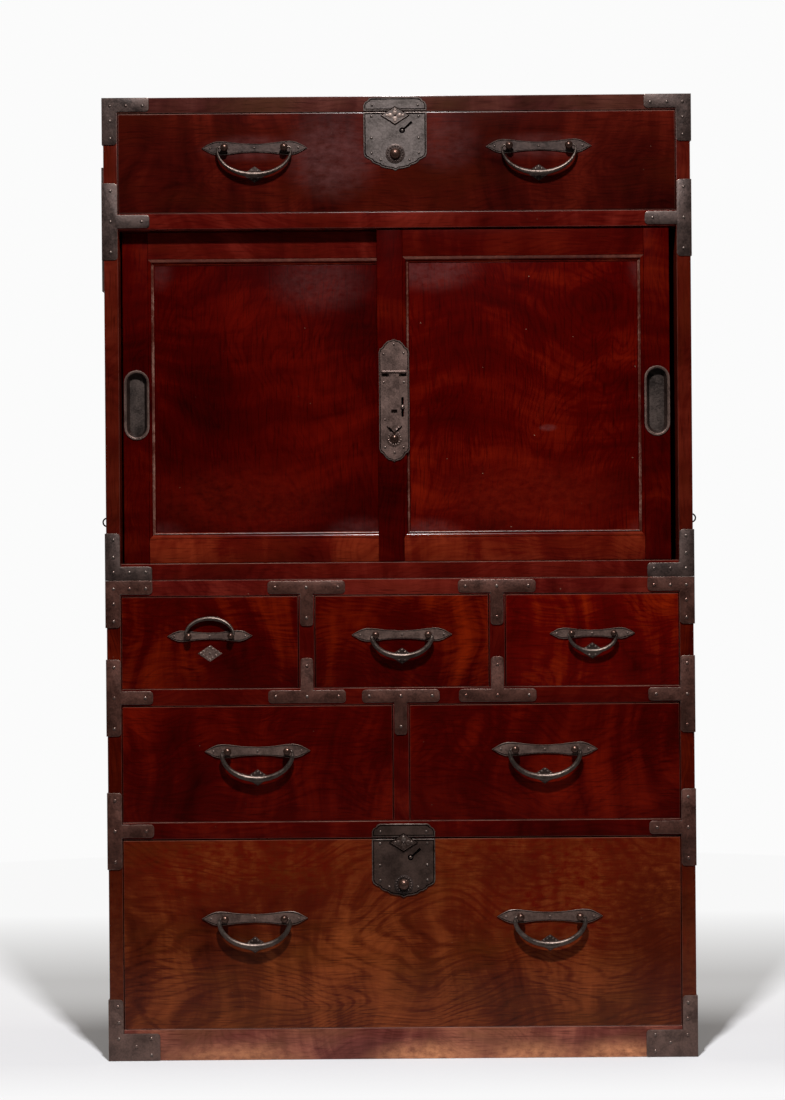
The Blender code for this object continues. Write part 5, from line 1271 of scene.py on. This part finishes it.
def drawer_lock(label, drawer, front, button_node, irons, black):
    """Make a scalloped lock plate with its flower, keyhole, beaded washer and push button."""
    low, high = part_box(f"{label}_plate")
    centre_x = (low.x + high.x) / 2
    top_z = high.z - FLOWER_HALF_HEIGHT + FLOWER_DROP
    back, face = high.y, high.y - IRON_THICKNESS
    button_low, button_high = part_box(button_node)
    button_z = (button_low.z + button_high.z) / 2
    straight = LOCK_SCALLOP_HEIGHT - LOCK_HEIGHT
    half = LOCK_WIDTH / 2
    right = [(half, 0.0)]
    right += [(half * across, straight - LOCK_SCALLOP_HEIGHT * up) for across, up in SCALLOP_SHARES]
    outline = [(x, z + LOCK_HEIGHT / 2) for x, z in right + [(-x, z) for x, z in reversed(right[:-1])]]
    middle = (centre_x, top_z - LOCK_HEIGHT / 2)
    builder = bmesh.new()
    rings = drawn_in(outline, grooved_steps(back, face, 0.0016, 0.0005), middle, half, LOCK_HEIGHT / 2)
    add_rings(builder, rings, LIP_BANDS)
    plate = finish_piece(f"{label}_plate_iron", builder, irons, drawer, [f"{label}_plate"])
    cut_lock(plate, front, centre_x, top_z, button_z, face, black)

    builder = bmesh.new()
    for inward, drop in LOCK_NAILS:
        for side in (-1, 1):
            place = (centre_x + side * inward, face, top_z - drop)
            add_nail(builder, place, (0, -1, 0), NAIL_RADIUS * 0.85, NAIL_HEIGHT)
    flower = (centre_x, top_z - FLOWER_DROP)
    add_flower(builder, flower, face - 2 * SEAT_GAP, 6 if label == "top_lock" else 1)
    foot_x = FLOWER_HALF_WIDTH / 2
    foot_low = (centre_x - foot_x, face - 3 * SEAT_GAP, flower[1] - FLOWER_HALF_HEIGHT / 2)
    add_block(builder, foot_low, (centre_x + foot_x, face + SEAT_GAP, top_z - SEAT_GAP))
    washer = [
        (0.0, WASHER_RADIUS), (0.0006, WASHER_RADIUS), (0.0009, WASHER_RADIUS * 0.94),
        (0.0009, BUTTON_RADIUS + SEAT_GAP), (0.0, BUTTON_RADIUS + SEAT_GAP),
    ]
    add_turned(builder, (centre_x, face, button_z), (0, -1, 0), washer, 32, 5, True)
    add_beads(builder, (centre_x, button_z), WASHER_RADIUS * 0.78, 0.0017, 18, face - 0.0007, 5)
    rolled_x = half - LIP_MARGIN
    along_x(builder, centre_x - rolled_x, centre_x + rolled_x, (face, top_z - ROLLED_EDGE), ROLLED_EDGE * 0.9, 10, 1)
    pin = (centre_x + KEYHOLE_X, face, top_z - KEYHOLE_DROP)
    add_nail(builder, (pin[0], face + KEYHOLE_DEPTH * 0.8, pin[2]), (0, -1, 0), KEYHOLE_PIN_RADIUS, 0.0016)
    finish_piece(f"{label}_ornaments", builder, irons, drawer)

    builder = bmesh.new()
    start = button_high.y - face
    profile = [(-start, BUTTON_RADIUS)] + dome(0.0014, BUTTON_DOME, BUTTON_RADIUS, 8)
    add_turned(builder, (centre_x, face, button_z), (0, -1, 0), profile, 32)
    finish_piece(f"{button_node}_iron", builder, irons[2:3], button_node, [button_node], 50.0)
    return centre_x


def cut_lock(plate, front, centre_x, top_z, button_z, face, black):
    """Bore a lock plate and its drawer for the button, and sink the keyhole and its slot."""
    radius = BUTTON_RADIUS + SEAT_GAP
    bore_end = DRAWER_FRONT + BUTTON_SHANK + BUTTON_TRAVEL
    for piece in (plate, front):
        builder = bmesh.new()
        profile = [(0.004, radius), (face - bore_end, radius)]
        add_turned(builder, (centre_x, face, button_z), (0, -1, 0), profile, 32)
        carve(piece, builder, black)
    pin = (centre_x + KEYHOLE_X, face, top_z - KEYHOLE_DROP)
    builder = bmesh.new()
    add_turned(builder, pin, (0, -1, 0), [(0.004, KEYHOLE_RADIUS), (-KEYHOLE_DEPTH, KEYHOLE_RADIUS)])
    carve(plate, builder, black)
    angle = math.radians(KEYHOLE_ANGLE_DEG)
    along = Vector((math.cos(angle), math.sin(angle)))
    across = Vector((-along.y, along.x)) * KEYHOLE_SLOT_WIDTH / 2
    centre = Vector((pin[0], pin[2]))
    start, end = centre + along * KEYHOLE_RADIUS * 0.8, centre + along * KEYHOLE_SLOT
    slot = [start - across, end - across, end + across * 1.8, start + across]
    builder = bmesh.new()
    add_rings(builder, [[(x, depth, z) for x, z in slot] for depth in (face - 0.004, face + KEYHOLE_DEPTH)])
    carve(plate, builder, black)


def strike_plate(name, centre_x, rail_z, irons, body):
    """Make the strike of a drawer lock on the rail above the drawer."""
    half = LOCK_WIDTH / 2
    base = rail_z + STRIKE_EDGE_SPACE
    right = [(half, 0.0)] + [(half * across, STRIKE_HEIGHT * up) for across, up in STRIKE_CORNER_SHARES]
    points = right + [(-x, z) for x, z in reversed(right)]
    outline = [(x, z - STRIKE_HEIGHT / 2) for x, z in points]
    face = RAIL_FRONT - IRON_THICKNESS
    builder = bmesh.new()
    middle = (centre_x, base + STRIKE_HEIGHT / 2)
    rings = drawn_in(outline, grooved_steps(RAIL_FRONT, face, 0.0016, 0.0005), middle, half, STRIKE_HEIGHT / 2)
    add_rings(builder, rings, LIP_BANDS)
    for side in (-1, 1):
        place = (centre_x + side * STRIKE_NAIL[0], face, base + STRIKE_NAIL[1])
        add_nail(builder, place, (0, -1, 0), NAIL_RADIUS * 0.85, NAIL_HEIGHT)
    finish_piece(name, builder, irons, body)


# Doors

def door_levels():
    """Return the bottom and top of a door's frame."""
    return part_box("upper_bottom")[1].z + DOOR_SHOULDER_GAP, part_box("door_rail")[0].z - DOOR_HEAD_GAP


def build_door(name, stile_woods, rail_woods, top_woods, panel_woods, bead_woods):
    """Make a framed panel door with its moulding and its tongues."""
    low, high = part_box(name)
    front, back = low.y, high.y
    low_z, high_z = door_levels()
    left, right = low.x + STILE_WIDTH, high.x - STILE_WIDTH
    bottom, top = low_z + DOOR_BOTTOM_RAIL, high_z - DOOR_TOP_RAIL

    stiles = {}
    for side, start, end in ((-1, low.x, left), (1, right, high.x)):
        builder = bmesh.new()
        add_block(builder, (start, front, low_z), (end, back, high_z), FRAME_ARRIS, 0)
        word = "left" if side < 0 else "right"
        nodes = [name] if side < 0 else []
        stiles[side] = finish_piece(f"{name}_{word}_stile", builder, stile_woods, name, nodes)
    builder = bmesh.new()
    for start, end in ((low_z, bottom), (top, high_z)):
        add_block(builder, (left + JOINT_GAP, front + JOINT_GAP, start), (right - JOINT_GAP, back, end), FRAME_ARRIS, 0)
    for face in builder.faces:
        if face.calc_center_median().z > (low_z + high_z) / 2:
            face.material_index += 2
    finish_piece(f"{name}_rails", builder, rail_woods + top_woods, name)

    builder = bmesh.new()
    middle = (front + back) / 2
    half = TONGUE_THICKNESS / 2
    for start, end in ((low.z, low_z), (high_z, high.z)):
        add_block(builder, (low.x, middle - half, start), (high.x, middle + half, end), ARRIS / 2)
    finish_piece(f"{name}_tongues", builder, rail_woods, name)

    builder = bmesh.new()
    rear = back - PANEL_BACK_RECESS
    profile = [(JOINT_GAP, rear)] + [(MOULDING_WIDTH * across, front + PANEL_RECESS * down)
                                     for across, down in MOULDING_SHARES] + [(MOULDING_WIDTH, rear)]
    rings = []
    for across, depth in profile:
        corners = ((left + across, bottom + across), (right - across, bottom + across),
                   (right - across, top - across), (left + across, top - across))
        rings.append([(x, depth, z) for x, z in corners])
    add_rings(builder, rings, 0, True)
    for face in builder.faces:
        centre = face.calc_center_median()
        from_sides = min(centre.x - left, right - centre.x)
        from_ends = min(centre.z - bottom, top - centre.z)
        across = min(from_sides, from_ends) / MOULDING_WIDTH
        on_top = from_ends < from_sides and top - centre.z < MOULDING_WIDTH
        # The top's outer band and the beads take the bead lacquer: wear with a painted highlight
        worn_and_lit = across < OUTER_BAND_END if on_top else BEAD_START < across < BEAD_END
        worn_and_lit = worn_and_lit and centre.y < front + PANEL_RECESS
        plain_index = 3 if from_ends < from_sides else 0
        face.material_index = plain_index if not worn_and_lit else 2 if on_top else 1
    woods = stile_woods[:1] + bead_woods + rail_woods[:1]
    finish_piece(f"{name}_moulding", builder, woods, name, (), 20.0)

    builder = bmesh.new()
    gap = MOULDING_WIDTH + JOINT_GAP
    add_block(builder, (left + gap, front + PANEL_RECESS, bottom + gap), (right - gap, rear, top - gap), ARRIS / 2)
    finish_piece(f"{name}_panel", builder, panel_woods, name)
    return stiles


def obround(centre, half_width, half_height, depth, steps=10):
    """Return a ring of points round an upright slot with round ends."""
    straight = half_height - half_width
    ring = []
    for side, start in ((1, 0), (-1, math.pi)):
        for step in range(steps + 1):
            angle = start + math.pi * step / steps
            x = centre[0] + half_width * math.cos(angle)
            ring.append((x, depth, centre[1] + side * straight + half_width * math.sin(angle)))
    return ring


def build_pull(name, door, stile, metals, black):
    """Make a finger pull: a dished cup whose rim is rolled twice, let into the stile."""
    low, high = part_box(name)
    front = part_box(door)[0].y
    seat = front - SEAT_GAP
    centre = ((low.x + high.x) / 2, (low.z + high.z) / 2)
    half_width, half_height = (high.x - low.x) / 2, (high.z - low.z) / 2
    rim_height = seat - low.y
    floor = front + PULL_DEPTH
    profile = [
        (PULL_RIM + PULL_DRAFT, floor), (PULL_RIM, front + PULL_WALL), (PULL_RIM, seat), (0.0, seat),
        (0.0, seat - rim_height * 0.4), (0.0005, seat - rim_height * 0.85), (0.0012, seat - rim_height),
        (0.0019, seat - rim_height * 0.85), (0.0023, seat - rim_height * 0.35), (0.0028, seat - rim_height * 0.8),
        (0.0034, seat - rim_height * 0.6), (0.0040, seat + 0.0002), (0.0043, front + PULL_WALL),
        (0.0060, front + PULL_DEPTH * 0.5), (PULL_RIM + PULL_WALL + PULL_DRAFT, floor - PULL_WALL),
    ]
    builder = bmesh.new()
    rings = [obround(centre, half_width - across, half_height - across, depth) for across, depth in profile]
    add_rings(builder, rings)
    for face in builder.faces:
        centre_y = face.calc_center_median().y
        if centre_y > front + PULL_WALL * 0.8 and face.normal.y < 0.2:
            face.material_index = 1 if centre_y < floor - PULL_WALL * 1.5 else 2
    finish_piece(f"{name}_cup", builder, metals, door, [name])
    pocket = PULL_RIM - SEAT_GAP
    builder = bmesh.new()
    steps = [(pocket, front - 0.002), (pocket, front + PULL_WALL + SEAT_GAP), (pocket + PULL_DRAFT, floor + SEAT_GAP)]
    add_rings(builder, [obround(centre, half_width - across, half_height - across, y) for across, y in steps])
    carve(stile, builder, black)


def along_x(builder, low_x, high_x, centre, radius, sides=NAIL_SIDES, material=0):
    """Add a round bar along X."""
    add_turned(builder, (low_x, *centre), (1, 0, 0), [(0.0, radius), (high_x - low_x, radius)], sides, material)


def build_door_lock(stile, irons, black):
    """Make the long lock plate with its hinge ears, stud, hasp and slider."""
    low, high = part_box("door_lock_plate")
    centre = ((low.x + high.x) / 2, (low.z + high.z) / 2)
    half, tall = (high.x - low.x) / 2, (high.z - low.z) / 2
    back, face = high.y, high.y - PLATE_THICKNESS
    straight = tall - DOOR_LOCK_END
    right = [(half * across, straight + DOOR_LOCK_END * up) for across, up in DOOR_LOCK_END_SHARES]
    upper = right + [(-x, z) for x, z in reversed(right[:-1])]
    outline = upper + [(x, -z) for x, z in reversed(upper)]
    builder = bmesh.new()
    rings = drawn_in(outline, grooved_steps(back, face, 0.0012, 0.0004), centre, half, tall)
    add_rings(builder, rings, LIP_BANDS)
    plate = finish_piece("door_lock_plate_iron", builder, irons, "door_right", ["door_lock_plate"])
    slider = (centre[0] + SLIDER_OFFSET_X, centre[1] - SLIDER_DROP)
    slot = (SLIDER_SLOT_WIDTH / 2, SLIDER_SLOT_LENGTH / 2)
    room = SLIDER_FOOT_RADIUS + SEAT_GAP
    pocket = (room, slot[1] - slot[0] + room)
    for piece, opening, depth in ((plate, slot, back + 0.001), (stile, pocket, back + 0.0035)):
        builder = bmesh.new()
        add_rings(builder, [obround(slider, *opening, y) for y in (face - 0.002, depth)])
        carve(piece, builder, black)

    builder = bmesh.new()
    for x, z in DOOR_LOCK_NAILS:
        add_nail(builder, (centre[0] + x, face, centre[1] + z), (0, -1, 0), NAIL_RADIUS * 0.8, NAIL_HEIGHT * 0.9)
    stud = (centre[0], face, centre[1] - STUD_DROP)
    # A near-black V sheet under the hasp's tip is a painted shadow
    shade = SHADE_HALF_WIDTH
    thick = SHADE_THICKNESS
    notch = [(-shade, SHADE_RISE), (0.0, 0.0), (shade, SHADE_RISE), (shade, SHADE_RISE - thick * 0.5),
             (0.0, -thick * 0.6), (-shade, SHADE_RISE - thick * 0.5)]
    level = stud[2] + SHADE_LIFT
    rows = [[(stud[0] + x, y, level + z) for x, z in notch] for y in (face + SEAT_GAP, face - SHADE_DEPTH)]
    add_rings(builder, rows, 4)
    washer = [(0.0, STUD_WASHER_RADIUS), (0.0005, STUD_WASHER_RADIUS), (0.0008, STUD_WASHER_RADIUS * 0.93)]
    add_turned(builder, stud, (0, -1, 0), washer, 32, 0)
    add_beads(builder, (stud[0], stud[2]), STUD_WASHER_RADIUS * 0.79, 0.0016, 16, face - 0.0006, 1)
    profile = [(0.0, STUD_RADIUS)] + dome(0.0008, STUD_HEIGHT - 0.0005, STUD_RADIUS, 7)
    add_turned(builder, stud, (0, -1, 0), profile, 28, 2)
    hinge = Vector(pivots["door_lock_hasp"])
    for side in (-1, 1):
        outer = hinge.x + side * HINGE_SPAN / 2
        low_x, high_x = sorted((outer, outer - side * HINGE_EAR_WIDTH))
        along_x(builder, low_x, high_x, (hinge.y, hinge.z), HASP_BARREL_RADIUS, 14)
        ear_low = (low_x, hinge.y, hinge.z - HASP_BARREL_RADIUS)
        add_block(builder, ear_low, (high_x, face, hinge.z + HASP_BARREL_RADIUS), 0.0003, 0)
        # Near-black blocks under the hinge ears: painted shadow
        hinge_shadow_x = hinge.x + side * (HINGE_SPAN / 2 - HINGE_EAR_WIDTH / 2)
        hinge_shadow_low = (hinge_shadow_x - HINGE_SHADOW_HALF_WIDTH, face - SEAT_GAP, hinge.z - HINGE_SHADOW_DROP)
        add_block(builder, hinge_shadow_low, (hinge_shadow_x + HINGE_SHADOW_HALF_WIDTH, face + SEAT_GAP, hinge.z), 0.0, 4)
    for face_of_hinge_shadow in builder.faces:
        if abs(face_of_hinge_shadow.calc_center_median().y - face) < 2 * SEAT_GAP and len(face_of_hinge_shadow.verts) == 4:
            centre_z = face_of_hinge_shadow.calc_center_median().z
            if hinge.z - HINGE_SHADOW_DROP - SEAT_GAP < centre_z < hinge.z - HASP_BARREL_RADIUS:
                face_of_hinge_shadow.material_index = 4
    finish_piece("door_lock_fittings", builder, irons, "door_right")
    build_hasp(hinge, irons)
    build_slider(slider, face, irons)


def build_hasp(hinge, irons):
    """Make the hasp: a barrel with pins, and a ridged strap with a slot and a pointed tip."""
    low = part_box("door_lock_hasp")[0]
    half = HASP_WIDTH / 2
    front, back = hinge.y - HASP_THICKNESS / 2, hinge.y + HASP_THICKNESS / 2
    shoulder = low.z + HASP_TIP
    slot_z = hinge.z - HASP_SLOT_DROP
    slot_half = HASP_SLOT_HEIGHT / 2
    builder = bmesh.new()
    barrel = HINGE_SPAN / 2 - HINGE_EAR_WIDTH - SEAT_GAP
    along_x(builder, hinge.x - barrel, hinge.x + barrel, (hinge.y, hinge.z), HASP_BARREL_RADIUS, 16)
    pins = HINGE_SPAN / 2 - SEAT_GAP
    along_x(builder, hinge.x - pins, hinge.x + pins, (hinge.y, hinge.z), HASP_PIN_RADIUS, 12)
    slot_x = HASP_SLOT_WIDTH / 2
    section = []
    ridges = 5
    for step in range(ridges * 4 + 1):
        x = -half + 2 * half * step / (ridges * 4)
        section.append((x, front + HASP_RIDGE * (0.5 - 0.5 * math.cos(2 * math.pi * ridges * step / (ridges * 4)))))
    section += [(half, back), (-half, back)]

    def strap(start, end, low_x, high_x):
        ring = [(min(max(x, low_x), high_x), y) for x, y in section]
        rows = []
        for z in (start, end):
            rows.append([(hinge.x + x, y, z if z is not None else tip_z(x)) for x, y in ring])
        add_rings(builder, rows)

    def tip_z(x):
        return low.z + HASP_TIP * abs(x) / half

    strap(slot_z + slot_half, hinge.z, -half, half)
    strap(slot_z - slot_half, slot_z + slot_half, -half, -slot_x)
    strap(slot_z - slot_half, slot_z + slot_half, slot_x, half)
    strap(None, slot_z - slot_half, -half, half)
    # A near-black sheet at the back of the slot: painted shade
    sunk = [(-slot_x, back), (slot_x, back), (slot_x, back - SEAT_GAP), (-slot_x, back - SEAT_GAP)]
    rows = [[(hinge.x + x, y, slot_z + up * slot_half) for x, y in sunk] for up in (-1, 1)]
    add_rings(builder, rows, 4)
    finish_piece("door_lock_hasp_iron", builder, irons, "door_lock_hasp", ["door_lock_hasp"])


def build_slider(centre, face, irons):
    """Make the slider: a domed head, a shank through the slot and a foot behind the plate."""
    place = (centre[0], face, centre[1])
    shank = SLIDER_SLOT_WIDTH / 2 - SEAT_GAP
    foot = -PLATE_THICKNESS - SEAT_GAP
    profile = [
        (foot - SLIDER_FOOT_THICKNESS, SLIDER_FOOT_RADIUS), (foot, SLIDER_FOOT_RADIUS),
        (foot, shank), (SEAT_GAP, shank),
    ] + dome(SEAT_GAP, SLIDER_HEAD_HEIGHT, SLIDER_HEAD_RADIUS, 6)
    builder = bmesh.new()
    add_turned(builder, place, (0, -1, 0), profile, 20)
    finish_piece("door_lock_slider_iron", builder, irons[1:2], "door_lock_slider", ["door_lock_slider"])


# Stage, light and camera

def light_path(tree, name):
    """Return one output of the light path."""
    return add_node(tree, "ShaderNodeLightPath").outputs[name]


def build_floor():
    """Make the pale floor that fades into the white of the background."""
    made, tree, shader, coordinates = new_material("studio_floor")
    tone = noise(tree, coordinates, 3.0, 3.0)
    tree.links.new(mixed(tree, tone, (0.54, 0.54, 0.56), (0.58, 0.58, 0.60)), shader.inputs["Base Color"])
    shader.inputs["Roughness"].default_value = 0.9
    shader.inputs["Specular IOR Level"].default_value = 0.1
    away = add_node(tree, "ShaderNodeVectorMath", {0: coordinates}, operation="LENGTH").outputs["Value"]
    depth = add_node(tree, "ShaderNodeSeparateXYZ", {0: coordinates}).outputs["Y"]
    near = add_node(tree, "ShaderNodeMapRange", dict(enumerate((depth, *NEAR_FADE))))
    near.interpolation_type = "SMOOTHSTEP"
    fade = maths(tree, "ADD", near.outputs[0], stretched(tree, depth, *FAR_FADE))
    for other in (stretched(tree, away, *ROUND_FADE), stretched(tree, depth, -0.23, -0.48, 0.15, FRONT_FADE)):
        fade = maths(tree, "MAXIMUM", fade, other)
    seen = maths(tree, "MULTIPLY", fade, light_path(tree, "Is Camera Ray"))
    white = add_node(tree, "ShaderNodeEmission", {"Color": (1, 1, 1, 1), "Strength": BACKDROP_WHITE}).outputs[0]
    mirrored_light = mirror_light(tree, coordinates, -0.9, 0.3)
    dim = add_node(tree, "ShaderNodeEmission", {"Color": mirrored_light, "Strength": 1.0}).outputs[0]
    first = add_node(tree, "ShaderNodeMixShader", {0: seen, 1: shader.outputs[0], 2: white}).outputs[0]
    glossy = light_path(tree, "Is Glossy Ray")
    last = add_node(tree, "ShaderNodeMixShader", {0: glossy, 1: first, 2: dim}).outputs[0]
    tree.links.new(last, tree.nodes["Material Output"].inputs["Surface"])
    mesh = bpy.data.meshes.new("floor")
    half = FLOOR_HALF
    corners = [(-half, -half, 0), (half, -half, 0), (half, half, 0), (-half, half, 0)]
    mesh.from_pydata(corners, [], [(0, 1, 2, 3)])
    mesh.materials.append(made)
    floor = bpy.data.objects.new("floor", mesh)
    floor.location.z = -SEAT_GAP
    bpy.context.scene.collection.objects.link(floor)
    return floor


def mirror_light(tree, place, dark_y, bright_y):
    """Return the colour that shines in the lacquer: white behind the chest, dark before it."""
    depth = add_node(tree, "ShaderNodeSeparateXYZ", {0: place}).outputs["Y"]
    value = stretched(tree, depth, dark_y, bright_y, FRONT_GLOSS, 1.0)
    return add_node(tree, "ShaderNodeCombineColor", {0: value, 1: value, 2: value}).outputs[0]


def build_world():
    """Set the white background, and the fill light that the lacquer doesn't mirror in front."""
    world = bpy.data.worlds.new("studio_air")
    world.use_nodes = True
    tree = world.node_tree
    direction = add_node(tree, "ShaderNodeTexCoord").outputs["Generated"]
    mirror = mirror_light(tree, direction, 0.0, 0.35)
    around = add_node(tree, "ShaderNodeSeparateXYZ", {0: direction}).outputs["Y"]
    soft = stretched(tree, around, -0.1, 0.4, FILL_LIGHT, BACK_LIGHT)
    seen = maths(tree, "MULTIPLY", light_path(tree, "Is Camera Ray"), BACKDROP_WHITE)
    levels = [maths(tree, "MAXIMUM", maths(tree, "MULTIPLY", soft, share), seen) for share in FILL_WARMTH]
    fill = add_node(tree, "ShaderNodeCombineColor", dict(enumerate(levels))).outputs[0]
    glossy = maths(tree, "MAXIMUM", light_path(tree, "Is Glossy Ray"), light_path(tree, "Is Transmission Ray"))
    tree.links.new(mixed(tree, glossy, fill, mirror), tree.nodes["Background"].inputs["Color"])
    bpy.context.scene.world = world


def build_lamp():
    """Set the one small lamp above the front, whose light falls evenly from top to bottom."""
    data = bpy.data.lights.new("key_lamp", "AREA")
    data.size = LAMP_SIZE
    data.energy = LAMP_POWER
    data.use_nodes = True
    even = add_node(data.node_tree, "ShaderNodeLightFalloff", {"Strength": LAMP_EVENNESS}).outputs["Constant"]
    data.node_tree.links.new(even, data.node_tree.nodes["Emission"].inputs["Strength"])
    lamp = bpy.data.objects.new("key_lamp", data)
    lamp.location = LAMP_PLACE
    towards = Vector((0.0, FRONT, CHEST_HEIGHT * LAMP_AIM_SHARE)) - Vector(LAMP_PLACE)
    lamp.rotation_euler = towards.to_track_quat("-Z", "Y").to_euler()
    bpy.context.scene.collection.objects.link(lamp)


def build_camera():
    """Set the camera that takes the photograph's view."""
    data = bpy.data.cameras.new("photo_camera")
    data.sensor_width = SENSOR
    data.lens = SENSOR * CAMERA_DISTANCE / PHOTO_SPAN
    camera = bpy.data.objects.new("photo_camera", data)
    upright = Matrix.Rotation(math.pi / 2, 4, "X")
    roll = Matrix.Rotation(-math.radians(CAMERA_ROLL_DEG), 4, "Z")
    place = Matrix.Translation((CAMERA_X, FRONT - CAMERA_DISTANCE, CAMERA_Z))
    camera.matrix_world = place @ upright @ roll
    bpy.context.scene.collection.objects.link(camera)
    bpy.context.scene.camera = camera


# Whole chest

def build_chest():
    """Make every piece of the chest."""
    black = hole_black()
    shared = [
        forged("coppery_iron", *POST_TONES, 0.8, 0.24, 0.40),
        forged("bail_iron", *BAIL_TONES, 0.85, 0.32, 0.50, hammer=0.0006),
        forged("painted_shade_iron", *PAINTED_SHADE_TONES, 0.0, 0.6, 0.8),
        forged("washer_iron", *WASHER_TONES, 0.6, 0.32, 0.5),
        forged("flower_iron", *FLOWER_TONES, 0.5, 0.36, 0.55),
    ]
    irons = {}
    for name, (first, second) in IRON_TONES.items():
        irons[name] = [forged(f"{name}_iron", first, second), forged(f"{name}_nail", second, NAIL_LIGHT, 0.7, 0.28, 0.45)]
        irons[name] += shared
    upper = irons["upper"]
    back_low, back_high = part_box("upper_back")
    plain = plain_wood("tray_softwood", "y", 1.0, TRAY_BOARD_WIDTH)
    backs = plain_wood("back_softwood", "z", 2.0, (back_high.x - back_low.x) / BACK_BOARDS)

    rails = lacquered("rail_lacquer", "x", 1.0, RAIL_TONES)
    upper_rail = lacquered("upper_rail_lacquer", "x", 1.9, UPPER_RAIL_TONES)
    top_rail = lacquered("top_rail_lacquer", "x", 1.6, TOP_RAIL_TONES)
    lower_rail = lacquered("lower_top_lacquer", "x", 1.3, LOWER_TOP_TONES, specks=1.6)
    sides = [lacquered("upper_side_lacquer", "z", 2.0, UPPER_SIDE_TONES),
             lacquered("lower_side_lacquer", "z", 2.4, LOWER_SIDE_TONES, FIGURE, TONE_AND_SHEEN_SPOTS["lower_sides"])]
    inner = lacquered("divider_lacquer", "z", 3.0, RAIL_TONES)
    base = lacquered("base_lacquer", "x", 4.0, BASE_TONES, FIGURE, TONE_AND_SHEEN_SPOTS["lower_bottom"])
    levels = build_boards(rails, upper_rail, top_rail, lower_rail, sides, inner, base, backs)
    build_corner_irons(upper, irons["t"], irons["base"])
    build_t_irons(levels, upper, irons["t"])
    for side, word in ((-1, "left"), (1, "right")):
        ring_eye(side, word, upper)

    fronts = {}
    for index, (name, tones) in enumerate(DRAWER_TONES.items()):
        large = name == "drawer_large"
        figure = LARGE_FIGURE if large else FIGURE
        seed = DRAWER_SEEDS.get(name, 5.0 + index)
        arris = ARRIS_WEAR_AND_HIGHLIGHT_TONE if name == "drawer_top" else LOWER_ARRIS_WEAR_AND_HIGHLIGHT_TONE
        woods = lacquered(f"{name}_lacquer", "x", seed, tones, figure, TONE_AND_SHEEN_SPOTS.get(name, ()), arris=arris)
        fronts[name] = make_drawer(name, woods, plain)
    fit_handles(irons["handle"], upper)
    top_x = drawer_lock("top_lock", "drawer_top", fronts["drawer_top"], "top_lock_button", irons["top_lock"], black)
    large_x = drawer_lock(
        "large_lock", "drawer_large", fronts["drawer_large"], "large_lock_button", irons["large_lock"], black,
    )
    strike_plate("top_strike", top_x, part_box("upper_top")[0].z, irons["top_lock"], "upper_case")
    strike_plate("large_strike", large_x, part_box("shelf_two")[0].z, irons["large_lock"], "lower_case")

    stile = lacquered("stile_lacquer", "z", 13.0, DOOR_TONES)
    door_rail = lacquered("door_rail_lacquer", "x", 14.0, DOOR_RAIL_TONES)
    bead = [worn_and_lit_bead("door_bead_lacquer", BEAD_TONES), worn_and_lit_bead("door_top_bead_lacquer", TOP_BEAD_TONES)]
    cup = [irons["handle"][0], forged("cup_wall_iron", *WALL_TONES, 0.3), forged("cup_floor_iron", *CUP_TONES, 0.6)]
    doors = [("door_left", LEFT_PANEL_TONES, 15.0), ("door_right", RIGHT_PANEL_TONES, 16.0)]
    for name, tones, seed in doors:
        panel = lacquered(f"{name}_panel_lacquer", "z", seed, tones, PANEL_FIGURE, TONE_AND_SHEEN_SPOTS[name], PANEL_SPECKS[name])
        top_wood = upper_rail if name == "door_left" else rails
        stiles = build_door(name, stile, door_rail, top_wood, panel[:1] * 2, bead)
        build_pull(name.replace("door", "door_pull"), name, stiles[-1 if name == "door_left" else 1], cup, black)
        if name == "door_right":
            build_door_lock(stiles[-1], irons["door"], black)


build_chest()
build_floor()
build_lamp()
build_world()
bpy.context.scene.view_settings.view_transform = "Standard"
build_camera()
